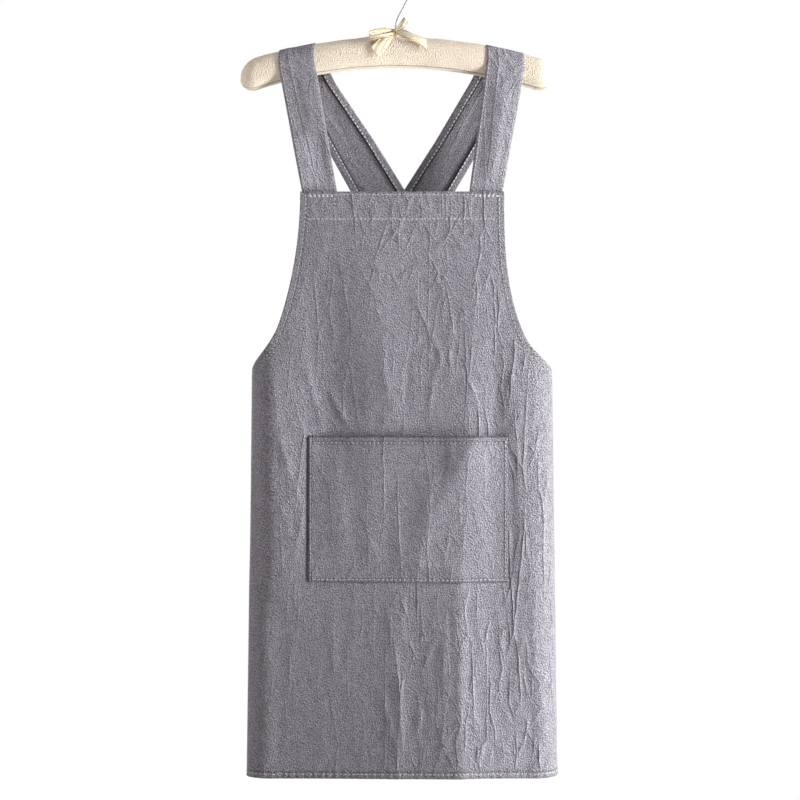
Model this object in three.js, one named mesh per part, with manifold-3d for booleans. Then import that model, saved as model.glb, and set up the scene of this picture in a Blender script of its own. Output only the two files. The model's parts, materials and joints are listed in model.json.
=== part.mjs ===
// Cross-back kitchen apron hanging on a padded hanger, in millimetres, +Z up, the front towards -Y.
// The origin is the inner top of the hook, where a rail carries it. Heights are given as drops below it.
import * as THREE from "three";
import { mergeVertices } from "three/addons/utils/BufferGeometryUtils.js";
import Module from "manifold-3d";

const wasm = await Module();
wasm.setup();
const { clamp, degToRad, lerp, smoothstep } = THREE.MathUtils;

// Cloth
const CLOTH = 1.2; // wall of the apron's cloth
const TURNED = 0.8; // extra thickness of a strap's turned edge
const GAP = 0.3; // clearance between pieces that touch or are sewn
const LAYER = CLOTH + GAP; // from the middle of one layer to the middle of the next

// Body: outline of the front, then how it wraps round to the back
const APRON_X = 7.6; // the apron hangs a little to the right of the hook
const BIB_TOP = 266;
const ARMHOLE_FOOT = 485;
const HEM = 977;
const BIB_HALF = 124;
const SIDE_HALF = 183; // half width at the armhole's foot
const HEM_HALF = 189.5;
const TURN_REACH = 30; // width of the side turn, seen from the front
const TOP_DEPTH = 17.5; // half the depth between front and back, down to the armhole's foot
const HEM_DEPTH = 21;
const ARMHOLE_DIP = 8; // how far the armhole sinks behind the side turn
const WING_TOP = 397;
const WING_INNER = 16; // from the back's middle to a wing's edge
const WING_OUTER = 84; // from the back's middle to the outer side of a wing's tip
const WING_CURVE = 2.2; // how hollow the armhole is at the back

// Front edge of each armhole: it leaves the bib slowly, then runs out to the side
const ARMHOLES = {
  left: { spread: 48, power: 2, corner: 12 },
  right: { spread: 47, power: 3, corner: 14 },
};

// The front leans out towards a crest right of its middle, more and more from a drop down to the hem.
// left and right are places round the girth, rightShare is what is left of the lean at the right one.
const LEAN = { from: 415, rise: 25, power: 1.15, left: -150, right: 150, rightShare: 0.45, round: 0.05 };
const LEAN_CREST = { from: 540, until: 780, top: 77, foot: 63 };
const HEM_EASE = 1.5; // the hem hangs this much lower where the front doesn't lean
const HEM_TRIM = 0.2; // and rises by this share of the lean

// Folds that stand out of the cloth. top and foot are places round the girth from the front's middle,
// from and until are drops, rise is the height, left and right are the widths of the two flanks.
const FOLDS = [
  { name: "left side ridge", top: -152, foot: -138, from: 420, until: 700, rise: 8, left: 18, right: 30 },
  { name: "bib middle ridge", top: -42, foot: -14, from: 285, until: 575, rise: 3, left: 40, right: 30 },
  { name: "right upper ridge", top: 80, foot: 76, from: 330, until: 650, rise: 4, left: 40, right: 18 },
  { name: "right lower ridge", top: 66, foot: 62, from: 690, until: 1300, rise: 5, left: 55, right: 18 },
  { name: "right side ridge", top: 150, foot: 146, from: 430, until: 960, rise: 4, left: 20, right: 18 },
  { name: "low middle ridge", top: -9, foot: -10, from: 720, until: 1300, rise: 2, left: 30, right: 12 },
  { name: "left wing wave", top: -290, foot: -300, from: 470, until: 1300, rise: 6, left: 34, right: 30 },
  { name: "right wing wave", top: 280, foot: 292, from: 470, until: 1300, rise: 7, left: 30, right: 36 },
];
const FOLD_FADE = 0.3; // share of a fold's length over which it rises and dies away

// Facing and pocket
const FACING_DEEP = 35;
const FACING_INSET = 2;
const FACING_STEP = { from: 58, until: 74 }; // girths between which it steps back behind a strap's end
const POCKET_X = 6.7; // from the front's middle
const POCKET_TOP = 563;
const POCKET_FOOT = 740;
const POCKET_HALF = 121.5;
const POCKET_GAPE = 8; // how far the mouth stands off the body
const GAPE_ACROSS = 8; // powers that round off the gape towards the sides and the foot
const GAPE_UP = 3;
const POCKET_SEAT = 0.6; // clearance under its sewn edges, where the body's folds run through

// Hanger: an arched padded bar with a wire hook
const BAR_DROP = 94; // middle of the bar, at the hook
const BAR_ARCH = 0.000857; // further drop per square millimetre of distance from the hook
const BAR_LENGTH = 381;
const BAR_HALF_HEIGHT = 18.6;
const BAR_END_HEIGHT = 21; // half height near the ends
const BAR_HALF_DEPTH = 13;
const BAR_SQUARE = 2.6; // power of the section's rounded outline, 2 being an ellipse
const BAR_CROWDING = 0.8; // power that draws the sections towards the bar's ends
const WIRE = 3.2;
const HOOK_RADIUS = 19; // to the middle of the wire
const HOOK_SEAT = 15; // how deep the wire stands in the bar
const HOOK_BEND = { foot: 62, start: -50, tip: 205 }; // the stem's top, then the bend in degrees

// Straps: from behind the bib, over the bar, to the inside of the opposite wing.
// Rows give the middle, half the width, the drop and the depth of each section off the bar.
const STRAP_TUCK = 32; // length behind the bib
const WING_TUCK = 24; // length inside the wing
const STRAP_LIFT = CLOTH / 2 + TURNED + 2 * GAP; // from the bar's face to the middle of the strap
const STRAP_EDGE = 10; // width of a strap's turned edge
const STRAP_STEP = 0.03; // the turned edge ends in a small step, as a share of half the width
const STRAP_INNER = 0.25; // share of half the width where the inner columns run
const STRAP_SPAN = 45; // sections further apart than this get others between them
const STRAPS = {
  strap_left: {
    bar: { x: -120, half: 23.5 },
    front: [
      { at: "tuck", x: -92, half: 21, drop: BIB_TOP + STRAP_TUCK, y: LAYER - TOP_DEPTH },
      { at: "bib", x: -93, half: 21, drop: BIB_TOP, y: LAYER - TOP_DEPTH },
    ],
    back: [
      { at: "shoulder", x: -62, half: 31, drop: 201, y: 14.8 },
      { at: "crossing", x: -23.5, half: 33.5, drop: 260, y: 14.6 },
      { at: "below crossing", x: 44, half: 34, drop: 370, y: 14.6 },
      { at: "wing", x: 61, half: 33, drop: WING_TOP + 4, y: TOP_DEPTH - LAYER },
      { at: "wing tuck", x: 68, half: 27, drop: WING_TOP + WING_TUCK, y: TOP_DEPTH - LAYER },
    ],
  },
  strap_right: {
    bar: { x: 131.5, half: 23.2 },
    front: [
      { at: "tuck", x: 108, half: 20, drop: BIB_TOP + STRAP_TUCK, y: LAYER - TOP_DEPTH },
      { at: "bib", x: 109.5, half: 20, drop: BIB_TOP, y: LAYER - TOP_DEPTH },
    ],
    back: [
      { at: "shoulder", x: 79, half: 30, drop: 201, y: 16.4 },
      { at: "crossing", x: 42, half: 31.5, drop: 260, y: 17.6 },
      { at: "below crossing", x: -24, half: 32.5, drop: 370, y: 17.6 },
      { at: "wing", x: -42, half: 33, drop: WING_TOP + 4, y: TOP_DEPTH - LAYER },
      { at: "wing tuck", x: -50, half: 27, drop: WING_TOP + WING_TUCK, y: TOP_DEPTH - LAYER },
    ],
  },
};

// Bow: loops go out from the knot and come back, tails hang from it over the bar's front
const RIBBON = 1;
const KNOT = { drop: 68.6, y: -6.2, across: 5, deep: 4, high: 5 }; // half sizes
const COLLAR = { inner: WIRE / 2 + 0.8, outer: WIRE / 2 + 2.2, drop: 68, high: 6 };
const BOW_LOOPS = [
  { name: "left", x: -30, drop: 76, y: -18, half: 7.5, open: 2.4 },
  { name: "right", x: 13, drop: 53, y: -9, half: 4, open: 2.6 },
];
const BOW_TAILS = [
  { name: "left", x: -18, drop: 98, half: 8, off: 2, slant: -0.35 },
  { name: "right", x: 34, drop: 82, half: 7, off: 3, slant: 0.2 },
];
const LOOP_NECK = 0.35; // share of a loop's width at the knot
const LOOP_START = 0.9; // the two ends lie this far either side of the knot's middle
const TAIL_NECK = 0.4; // share of a tail's width at the knot
const TAIL_BEND = 1.3; // power of the line along which a tail falls
const TAIL_SETTLE = 0.4; // share of a tail's length until it lies on the bar

// Rows and columns of the meshes
const FRONT_COLUMNS = 36;
const DIP_COLUMNS = 3;
const WING_COLUMNS = 8;
const LOW_ROWS = 14;
const BIB_ROWS = 9;
const WING_ROWS = 5;
const FACING_CELLS = { columns: 24, rows: 2 };
const POCKET_ROWS = 8;
const POCKET_MARGIN = 3; // no column of the body nearer than this to the pocket's sides
const BAR_CELLS = { sections: 26, sides: 20 };
const BORE_SIDES = 12;
const HOOK_CELLS = { bend: 8, steps: 36, sides: 5 };
const BAR_BENDS = 10; // sections of a strap over the bar
const LOOP_CELLS = { steps: 14, columns: 2 };
const TAIL_CELLS = { steps: 8, columns: 3 };
const KNOT_CELLS = { around: 11, high: 7 };
const COLLAR_SIDES = 14;

const MATERIALS = {
  cloth: { color: 0x938f95, roughness: 0.95, metalness: 0 },
  cover: { color: 0xe8dac2, roughness: 0.9, metalness: 0 },
  ribbon: { color: 0xdccdb4, roughness: 0.55, metalness: 0 },
  wire: { color: 0xc4c2be, roughness: 0.35, metalness: 0.8 },
};

// Sheets: points and four-cornered cells, counter-clockwise seen from the cloth's right side

// One row of points
function startSheet(count, pointAt) {
  const points = Array.from({ length: count + 1 }, (_, i) => pointAt(i / count));
  return { points, cells: [], base: points.map((_, i) => i) };
}

// Grows a sheet upwards from one of its rows, and returns its new top row
function growSheet(sheet, base, count, pointAt) {
  let below = base;
  for (let j = 1; j <= count; j++) {
    const across = base.length - 1;
    const row = base.map((_, i) => sheet.points.push(pointAt(i / across, j / count, i)) - 1);
    for (let i = 0; i < across; i++) {
      sheet.cells.push([below[i], below[i + 1], row[i + 1], row[i]]);
    }
    below = row;
  }
  return below;
}

// Closed wall round a sheet: half the thickness on the right side, the rest and the extra on the wrong side
function wall(sheet, thickness, extraAt = () => 0) {
  const { points, cells } = sheet;
  const count = points.length;
  const normals = points.map(() => new THREE.Vector3());
  const diagonal = new THREE.Vector3();
  const other = new THREE.Vector3();
  const edges = new Set();
  for (const cell of cells) {
    const [a, b, c, d] = cell;
    diagonal.subVectors(points[c], points[a]);
    other.subVectors(points[d], points[b]);
    const normal = diagonal.clone().cross(other).normalize();
    cell.forEach((corner) => normals[corner].add(normal));
    cell.forEach((corner, k) => edges.add(`${corner},${cell[(k + 1) % 4]}`));
  }
  const right = points.map((point, i) =>
    point.clone().addScaledVector(normals[i].normalize(), thickness / 2),
  );
  const wrong = points.map((point, i) =>
    point.clone().addScaledVector(normals[i], -thickness / 2 - extraAt(i)),
  );
  const index = [];
  for (const [a, b, c, d] of cells) {
    index.push(a, b, c, a, c, d);
    index.push(count + a, count + c, count + b, count + a, count + d, count + c);
    for (const [from, to] of [[a, b], [b, c], [c, d], [d, a]]) {
      if (edges.has(`${to},${from}`)) continue;
      index.push(to, from, count + from, to, count + from, count + to);
    }
  }
  const geometry = new THREE.BufferGeometry().setFromPoints([...right, ...wrong]);
  return geometry.setIndex(index);
}

// Solids for cuts and joins

function toSolid(geometry) {
  const bare = geometry.clone();
  bare.deleteAttribute("normal");
  bare.deleteAttribute("uv");
  const merged = mergeVertices(bare, 1e-4);
  const vertProperties = new Float32Array(merged.attributes.position.array);
  const triVerts = new Uint32Array(merged.index.array);
  return new wasm.Manifold(new wasm.Mesh({ numProp: 3, vertProperties, triVerts }));
}

function fromSolid(solid) {
  const { vertProperties, triVerts } = solid.getMesh();
  const geometry = new THREE.BufferGeometry();
  geometry.setAttribute("position", new THREE.BufferAttribute(new Float32Array(vertProperties), 3));
  return geometry.setIndex([...triVerts]);
}

// Body

function halfWidth(drop) {
  return lerp(SIDE_HALF, HEM_HALF, clamp((drop - ARMHOLE_FOOT) / (HEM - ARMHOLE_FOOT), 0, 1));
}

function halfDepth(drop) {
  return lerp(TOP_DEPTH, HEM_DEPTH, clamp((drop - ARMHOLE_FOOT) / (HEM - ARMHOLE_FOOT), 0, 1));
}

// Girth of the side turn, half an ellipse
function turnGirth(depth) {
  return (Math.PI * Math.hypot(TURN_REACH, depth)) / Math.SQRT2;
}

// Two slopes that meet in a rounded crest
function lean(girth, drop) {
  const low = clamp((drop - LEAN_CREST.from) / (LEAN_CREST.until - LEAN_CREST.from), 0, 1);
  const crest = lerp(LEAN_CREST.top, LEAN_CREST.foot, low);
  const left = (girth - LEAN.left) / (crest - LEAN.left);
  const right = 1 - ((1 - LEAN.rightShare) * (girth - crest)) / (LEAN.right - crest);
  const roof = (left + right - Math.hypot(left - right, LEAN.round)) / 2;
  const share = girth > LEAN.right ? LEAN.rightShare : Math.max(roof, 0);
  return LEAN.rise * share * clamp((drop - LEAN.from) / (HEM - LEAN.from), 0, 1) ** LEAN.power;
}

function hemDrop(girth) {
  return HEM + HEM_EASE - HEM_TRIM * lean(girth, HEM);
}

function foldRise(girth, drop) {
  let rise = 0;
  for (const fold of FOLDS) {
    const along = (drop - fold.from) / (fold.until - fold.from);
    const swell = smoothstep(along, 0, FOLD_FADE) * (1 - smoothstep(along, 1 - FOLD_FADE, 1));
    const off = girth - lerp(fold.top, fold.foot, along);
    rise += fold.rise * swell * Math.exp(-((off / (off < 0 ? fold.left : fold.right)) ** 2));
  }
  return rise;
}

// Point of the body at a distance round its girth from the front's middle, lifted off its right side
function bodyPoint(girth, drop, lift = 0) {
  const side = girth < 0 ? -1 : 1;
  const depth = halfDepth(drop);
  const flat = halfWidth(drop) - TURN_REACH;
  const turn = turnGirth(depth);
  const reach = Math.abs(girth);
  const angle = Math.PI * clamp((reach - flat) / turn, 0, 1);
  const past = Math.max(reach - flat - turn, 0);
  const x = Math.min(reach, flat) + TURN_REACH * Math.sin(angle) - past;
  const out = new THREE.Vector3(side * depth * Math.sin(angle), -TURN_REACH * Math.cos(angle), 0);
  const front = angle < Math.PI / 2 ? depth + lean(girth, drop) : depth;
  const point = new THREE.Vector3(APRON_X + side * x, -front * Math.cos(angle), -drop);
  return point.addScaledVector(out.normalize(), foldRise(girth, drop) + lift);
}

const flatHalf = SIDE_HALF - TURN_REACH;
const armholeFront = flatHalf + turnGirth(TOP_DEPTH) / 2; // girth where the armhole reaches the side
const armholeBack = flatHalf + turnGirth(TOP_DEPTH); // girth where the flat back begins
const wingTip = armholeBack + flatHalf - WING_OUTER;
const wingEdge = armholeBack + flatHalf - WING_INNER;

// Girth of the bib's edge at a share of the way down from its top
function bibEdge({ spread, power, corner }, down) {
  const rest = armholeFront - BIB_HALF - spread;
  return BIB_HALF + spread * down ** power + rest * down ** corner;
}

// Columns of the whole girth at the armhole's foot, the same on both sides
const evenly = (from, to, count) => Array.from({ length: count }, (_, i) => lerp(from, to, (i + 1) / count));
const frontColumns = [-armholeFront, ...evenly(-armholeFront, armholeFront, FRONT_COLUMNS)];
const sideColumns = [
  ...evenly(armholeFront, armholeBack, DIP_COLUMNS),
  ...evenly(armholeBack, wingEdge, WING_COLUMNS),
];
const girthColumns = [...sideColumns.map((girth) => -girth).reverse(), ...frontColumns, ...sideColumns];

function bodyGeometry() {
  const dipAt = (girth) => {
    const along = (Math.abs(girth) - armholeFront) / (armholeBack - armholeFront);
    return ARMHOLE_DIP * Math.sin(Math.PI * clamp(along, 0, 1));
  };
  const lowPoint = (column, up) => {
    const girth = girthColumns[column];
    const drop = lerp(hemDrop(girth), ARMHOLE_FOOT + dipAt(girth), up);
    return bodyPoint((girth * halfWidth(drop)) / SIDE_HALF, drop);
  };
  const last = girthColumns.length - 1;
  const sheet = startSheet(last, (across) => lowPoint(Math.round(across * last), 0));
  const top = growSheet(sheet, sheet.base, LOW_ROWS, (across, up, column) => lowPoint(column, up));
  const bibFirst = WING_COLUMNS + DIP_COLUMNS;
  growSheet(sheet, top.slice(bibFirst, bibFirst + FRONT_COLUMNS + 1), BIB_ROWS, (across, up) => {
    const left = -bibEdge(ARMHOLES.left, 1 - up);
    const right = bibEdge(ARMHOLES.right, 1 - up);
    return bodyPoint(lerp(left, right, across), lerp(ARMHOLE_FOOT, BIB_TOP, up));
  });
  for (const side of [-1, 1]) {
    const wing = side < 0 ? top.slice(0, WING_COLUMNS + 1) : top.slice(-WING_COLUMNS - 1);
    growSheet(sheet, wing, WING_ROWS, (across, up) => {
      const outer = lerp(armholeBack, wingTip, 1 - (1 - up) ** WING_CURVE);
      const girth = lerp(outer, wingEdge, side < 0 ? 1 - across : across);
      return bodyPoint(side * girth, lerp(ARMHOLE_FOOT, WING_TOP, up));
    });
  }
  return wall(sheet, CLOTH);
}

// Facing: lies behind the bib's top, a layer further back where the strap ends are tucked in

function facingGeometry() {
  const { columns, rows } = FACING_CELLS;
  const pointAt = (across, up) => {
    const drop = lerp(BIB_TOP + FACING_DEEP, BIB_TOP + FACING_INSET, up);
    const girth = lerp(-BIB_HALF + FACING_INSET, BIB_HALF - FACING_INSET, across);
    const overStrap = smoothstep(Math.abs(girth), FACING_STEP.from, FACING_STEP.until);
    return bodyPoint(girth, drop, -LAYER - overStrap * (LAYER + TURNED));
  };
  const sheet = startSheet(columns, (across) => pointAt(across, 0));
  growSheet(sheet, sheet.base, rows, pointAt);
  return wall(sheet, CLOTH);
}

// Pocket: shares the body's columns, so that it follows its folds, and gapes towards the mouth

function pocketGeometry() {
  const left = POCKET_X - POCKET_HALF;
  const right = POCKET_X + POCKET_HALF;
  const clear = POCKET_HALF - POCKET_MARGIN;
  const inside = frontColumns.filter((girth) => Math.abs(girth - POCKET_X) < clear);
  const columns = [left, ...inside, right];
  const pointAt = (across, up) => {
    const girth = columns[Math.round(across * (columns.length - 1))];
    const share = (girth - POCKET_X) / POCKET_HALF;
    const gape = POCKET_GAPE * (1 - share ** GAPE_ACROSS) * (1 - (1 - up) ** GAPE_UP);
    return bodyPoint(girth, lerp(POCKET_FOOT, POCKET_TOP, up), CLOTH + POCKET_SEAT + gape);
  };
  const sheet = startSheet(columns.length - 1, (across) => pointAt(across, 0));
  growSheet(sheet, sheet.base, POCKET_ROWS, pointAt);
  return wall(sheet, CLOTH);
}

// Hanger

function barDrop(x) {
  return BAR_DROP + BAR_ARCH * x * x;
}

// Point round the bar's section at x, from the front (0) over the top (90) to the back (180)
function barPoint(x, degrees, lift = 0, shrink = 1) {
  const high = lerp(BAR_HALF_HEIGHT, BAR_END_HEIGHT, (x / (BAR_LENGTH / 2)) ** 2) * shrink + lift;
  const deep = BAR_HALF_DEPTH * shrink + lift;
  const cos = Math.cos(degToRad(degrees));
  const sin = Math.sin(degToRad(degrees));
  const round = (value) => Math.sign(value) * Math.abs(value) ** (2 / BAR_SQUARE);
  return new THREE.Vector3(x, -deep * round(cos), high * round(sin) - barDrop(x));
}

function barGeometry() {
  const { sections, sides } = BAR_CELLS;
  const half = BAR_LENGTH / 2;
  const positions = [];
  const index = [];
  for (let k = 1; k < sections; k++) {
    const along = -Math.cos((Math.PI * k) / sections); // closer together at the rounded ends
    const x = half * Math.sign(along) * Math.abs(along) ** BAR_CROWDING;
    const shrink = Math.sqrt(1 - clamp((Math.abs(x) - half + BAR_END_HEIGHT) / BAR_END_HEIGHT, 0, 1) ** 2);
    for (let i = 0; i < sides; i++) {
      positions.push(barPoint(x, (360 * i) / sides, 0, shrink));
    }
  }
  const first = positions.push(barPoint(-half, 0, 0, 0)) - 1;
  const last = positions.push(barPoint(half, 0, 0, 0)) - 1;
  const top = (sections - 2) * sides;
  for (let i = 0; i < sides; i++) {
    const next = (i + 1) % sides;
    for (let k = 0; k < top; k += sides) {
      index.push(k + i, k + sides + i, k + next, k + next, k + sides + i, k + sides + next);
    }
    index.push(first, i, next, last, top + next, top + i);
  }
  const bar = new THREE.BufferGeometry().setFromPoints(positions).setIndex(index);
  const bore = new THREE.CylinderGeometry(WIRE / 2 + GAP, WIRE / 2 + GAP, 2 * HOOK_SEAT, BORE_SIDES);
  bore.rotateX(Math.PI / 2);
  bore.translate(0, 0, BAR_HALF_HEIGHT - BAR_DROP);
  return fromSolid(toSolid(bar).subtract(toSolid(bore)));
}

function hookGeometry() {
  const centre = WIRE / 2 - HOOK_RADIUS;
  const { bend, steps, sides } = HOOK_CELLS;
  const route = [
    new THREE.Vector3(0, 0, BAR_HALF_HEIGHT - BAR_DROP - HOOK_SEAT + GAP),
    new THREE.Vector3(0, 0, BAR_HALF_HEIGHT - BAR_DROP),
    new THREE.Vector3(0, 0, -HOOK_BEND.foot),
  ];
  for (let k = 0; k <= bend; k++) {
    const angle = degToRad(lerp(HOOK_BEND.start, HOOK_BEND.tip, k / bend));
    route.push(new THREE.Vector3(HOOK_RADIUS * Math.cos(angle), 0, centre + HOOK_RADIUS * Math.sin(angle)));
  }
  const section = new THREE.Shape().absarc(0, 0, WIRE / 2, 0, 2 * Math.PI);
  return new THREE.ExtrudeGeometry(section, {
    extrudePath: new THREE.CatmullRomCurve3(route),
    steps,
    curveSegments: sides,
  });
}

// Straps

// Sections of a strap from the bib to the wing, each a function of the place across it, -1 to 1
function strapSections({ bar, front, back }) {
  const flat = ({ x, half, drop, y }) => (across) => new THREE.Vector3(x + across * half, y, -drop);
  const over = (degrees) => (across) => barPoint(bar.x + across * bar.half, degrees, STRAP_LIFT);
  const bends = Array.from({ length: BAR_BENDS + 1 }, (_, k) => over((180 * k) / BAR_BENDS));
  return [...front.map(flat), ...bends, ...back.map(flat)];
}

function strapGeometry(strap) {
  const sections = strapSections(strap);
  const widest = Math.max(...strap.back.map(({ half }) => half));
  const edge = STRAP_EDGE / widest;
  const inner = edge + STRAP_STEP;
  const columns = [-1, edge - 1, inner - 1, -STRAP_INNER, STRAP_INNER, 1 - inner, 1 - edge, 1];
  const rows = [sections[0]];
  for (let k = 1; k < sections.length; k++) {
    const start = sections[k - 1];
    const end = sections[k];
    const parts = Math.ceil(start(0).distanceTo(end(0)) / STRAP_SPAN);
    for (let i = 1; i <= parts; i++) {
      rows.push((across) => start(across).lerp(end(across), i / parts));
    }
  }
  const last = columns.length - 1;
  const sheet = startSheet(last, (across) => rows[0](columns[Math.round(across * last)]));
  growSheet(sheet, sheet.base, rows.length - 1, (across, up, column) =>
    rows[Math.round(up * (rows.length - 1))](columns[column]),
  );
  const isTurned = (i) => [0, 1, last - 1, last].includes(i % columns.length);
  return wall(sheet, CLOTH, (i) => (isTurned(i) ? TURNED : 0));
}

// Bow

// Direction across a ribbon that runs from the knot to x and drop, seen from the front
function ribbonAcross({ x, drop }) {
  return new THREE.Vector3(drop - KNOT.drop, 0, x).normalize();
}

// Ribbon loop: out from the knot and back, widest at its far end
function loopGeometry(loop) {
  const across = ribbonAcross(loop);
  const pointAt = (place, along) => {
    const out = Math.sin(Math.PI * along);
    const apart = LOOP_START * Math.cos(Math.PI * along) + loop.open * Math.sin(2 * Math.PI * along);
    const middle = new THREE.Vector3(loop.x * out, 0, -lerp(KNOT.drop, loop.drop, out));
    middle.y = lerp(KNOT.y, loop.y, out) + apart;
    return middle.addScaledVector(across, (2 * place - 1) * loop.half * lerp(LOOP_NECK, 1, out));
  };
  const sheet = startSheet(LOOP_CELLS.columns, (place) => pointAt(place, 0));
  growSheet(sheet, sheet.base, LOOP_CELLS.steps, pointAt);
  return wall(sheet, RIBBON);
}

// Ribbon tail: leaves the knot and lies down over the front of the bar, its end cut at a slant
function tailGeometry(tail) {
  const across = ribbonAcross(tail);
  const pointAt = (place, along) => {
    const reach = along * (1 + tail.slant * (place - 0.5));
    const middle = new THREE.Vector3(tail.x * reach, 0, -lerp(KNOT.drop, tail.drop, reach ** TAIL_BEND));
    middle.addScaledVector(across, (2 * place - 1) * tail.half * lerp(TAIL_NECK, 1, along));
    middle.y = lerp(KNOT.y, -BAR_HALF_DEPTH - tail.off, smoothstep(along, 0, TAIL_SETTLE));
    return middle;
  };
  const sheet = startSheet(TAIL_CELLS.columns, (place) => pointAt(place, 0));
  growSheet(sheet, sheet.base, TAIL_CELLS.steps, pointAt);
  return wall(sheet, RIBBON);
}

function bowGeometry() {
  const knot = new THREE.SphereGeometry(1, KNOT_CELLS.around, KNOT_CELLS.high);
  knot.scale(KNOT.across, KNOT.deep, KNOT.high);
  knot.translate(0, KNOT.y, -KNOT.drop);
  const { inner, outer, drop, high } = COLLAR;
  const ring = [
    [inner, -high / 2],
    [outer, -high / 2],
    [outer, high / 2],
    [inner, high / 2],
    [inner, -high / 2],
  ];
  const outline = ring.map(([radius, up]) => new THREE.Vector2(radius, up));
  const collar = new THREE.LatheGeometry(outline, COLLAR_SIDES);
  collar.rotateX(Math.PI / 2);
  collar.translate(0, 0, -drop);
  const pieces = [collar, ...BOW_LOOPS.map(loopGeometry), ...BOW_TAILS.map(tailGeometry)];
  return fromSolid(pieces.reduce((bow, piece) => bow.add(toSolid(piece)), toSolid(knot)));
}

// Assembly

function piece(name, geometry, material) {
  const mesh = new THREE.Mesh(geometry, new THREE.MeshStandardMaterial(material));
  mesh.name = name;
  return mesh;
}

const apron = new THREE.Group();
apron.add(
  piece("body", bodyGeometry(), MATERIALS.cloth),
  piece("bib_facing", facingGeometry(), MATERIALS.cloth),
  piece("pocket", pocketGeometry(), MATERIALS.cloth),
);
for (const [name, strap] of Object.entries(STRAPS)) {
  apron.add(piece(name, strapGeometry(strap), MATERIALS.cloth));
}

const hanger = new THREE.Group();
hanger.add(
  piece("hanger_bar", barGeometry(), MATERIALS.cover),
  piece("hanger_hook", hookGeometry(), MATERIALS.wire),
  piece("ribbon_bow", bowGeometry(), MATERIALS.ribbon),
);

const part = new THREE.Group();
part.add(apron, hanger);
export default part;
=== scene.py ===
import json
import math

import bpy
import numpy as np
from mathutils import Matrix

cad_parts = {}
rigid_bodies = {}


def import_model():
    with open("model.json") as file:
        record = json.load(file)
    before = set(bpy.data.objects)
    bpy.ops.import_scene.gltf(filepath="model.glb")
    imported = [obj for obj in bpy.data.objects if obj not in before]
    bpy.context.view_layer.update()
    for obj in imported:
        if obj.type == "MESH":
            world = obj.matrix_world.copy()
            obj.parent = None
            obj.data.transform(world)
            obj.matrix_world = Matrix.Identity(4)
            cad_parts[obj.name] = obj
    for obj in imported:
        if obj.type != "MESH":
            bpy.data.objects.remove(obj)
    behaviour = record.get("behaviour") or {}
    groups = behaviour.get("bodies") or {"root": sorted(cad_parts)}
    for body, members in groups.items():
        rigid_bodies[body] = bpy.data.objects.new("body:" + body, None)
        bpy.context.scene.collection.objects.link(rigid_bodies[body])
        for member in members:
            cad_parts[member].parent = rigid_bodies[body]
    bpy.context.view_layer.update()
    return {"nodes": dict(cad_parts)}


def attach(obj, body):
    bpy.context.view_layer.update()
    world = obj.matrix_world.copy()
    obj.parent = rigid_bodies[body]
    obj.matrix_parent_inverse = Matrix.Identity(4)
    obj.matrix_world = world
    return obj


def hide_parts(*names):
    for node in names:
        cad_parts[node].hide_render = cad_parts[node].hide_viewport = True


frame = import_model()
print("frame loaded:", len(frame["nodes"]), "nodes")

# Cross-back kitchen apron on a padded hanger. Places are in millimetres in the frame of the solids:
# x to the viewer's right, y away from the viewer, heights given as drops below the hook's seat.
mm = 0.001


# camera and light
view = {"x": 4.9, "drop": 519.4, "distance": 2200.0, "span": 980.0, "sensor": 36.0}
studio = {
    "surround": 0.16,  # light from all round, next to the plain white that the camera sees
    "warm": (1.0, 0.98, 0.985),
    "cool": (0.97, 0.995, 1.0),
    "floorDrop": 2600.0,
    "floorRadius": 2600.0,
    "floorCentre": 0.05,  # radius of the innermost ring next to the floor's own
    "floorRings": 12,
    "floorSides": 96,
}
lamps = {
    "key": {"at": (900.0, -300.0, -540.0), "aim": (0.0, 0.0, -540.0), "size": (180.0, 1900.0),
            "power": 34.5, "tint": studio["cool"]},
    "fill": {"at": (-200.0, -1000.0, 600.0), "aim": (0.0, 0.0, -400.0), "size": (600.0, 600.0),
             "power": 4.4, "tint": studio["warm"]},
    "rim": {"at": (-1000.0, -100.0, -520.0), "aim": (0.0, 0.0, -520.0), "size": (200.0, 1300.0),
            "power": 5.4, "tint": studio["warm"]},
    "back": {"at": (-900.0, 1500.0, -150.0), "aim": (0.0, 0.0, -480.0), "size": (700.0, 1200.0),
             "power": 33.0, "tint": studio["warm"]},
}


# puts a camera or lamp, which looks down its own z, at one point and turns it towards another
def aimAt(obj, start, end):
    way = np.subtract(end, start)
    pitch = math.acos(-way[2] / np.linalg.norm(way))
    heading = math.atan2(way[1], way[0]) - math.pi / 2
    obj.location = np.multiply(start, mm)
    obj.rotation_euler = (pitch, 0.0, heading)


def addCamera():
    data = bpy.data.cameras.new("camera")
    data.sensor_width = view["sensor"]
    data.lens = view["sensor"] * view["distance"] / view["span"]
    camera = bpy.data.objects.new("camera", data)
    aimAt(camera, (view["x"], -view["distance"], -view["drop"]), (view["x"], 0.0, -view["drop"]))
    bpy.context.collection.objects.link(camera)
    bpy.context.scene.camera = camera


def addLamp(name, lamp):
    data = bpy.data.lights.new(name, "AREA")
    data.shape = "RECTANGLE"
    data.size, data.size_y = np.multiply(lamp["size"], mm)
    data.energy = lamp["power"]
    data.color = lamp["tint"]
    obj = bpy.data.objects.new(name, data)
    obj.visible_camera = False
    aimAt(obj, lamp["at"], lamp["aim"])
    bpy.context.collection.objects.link(obj)


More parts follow.
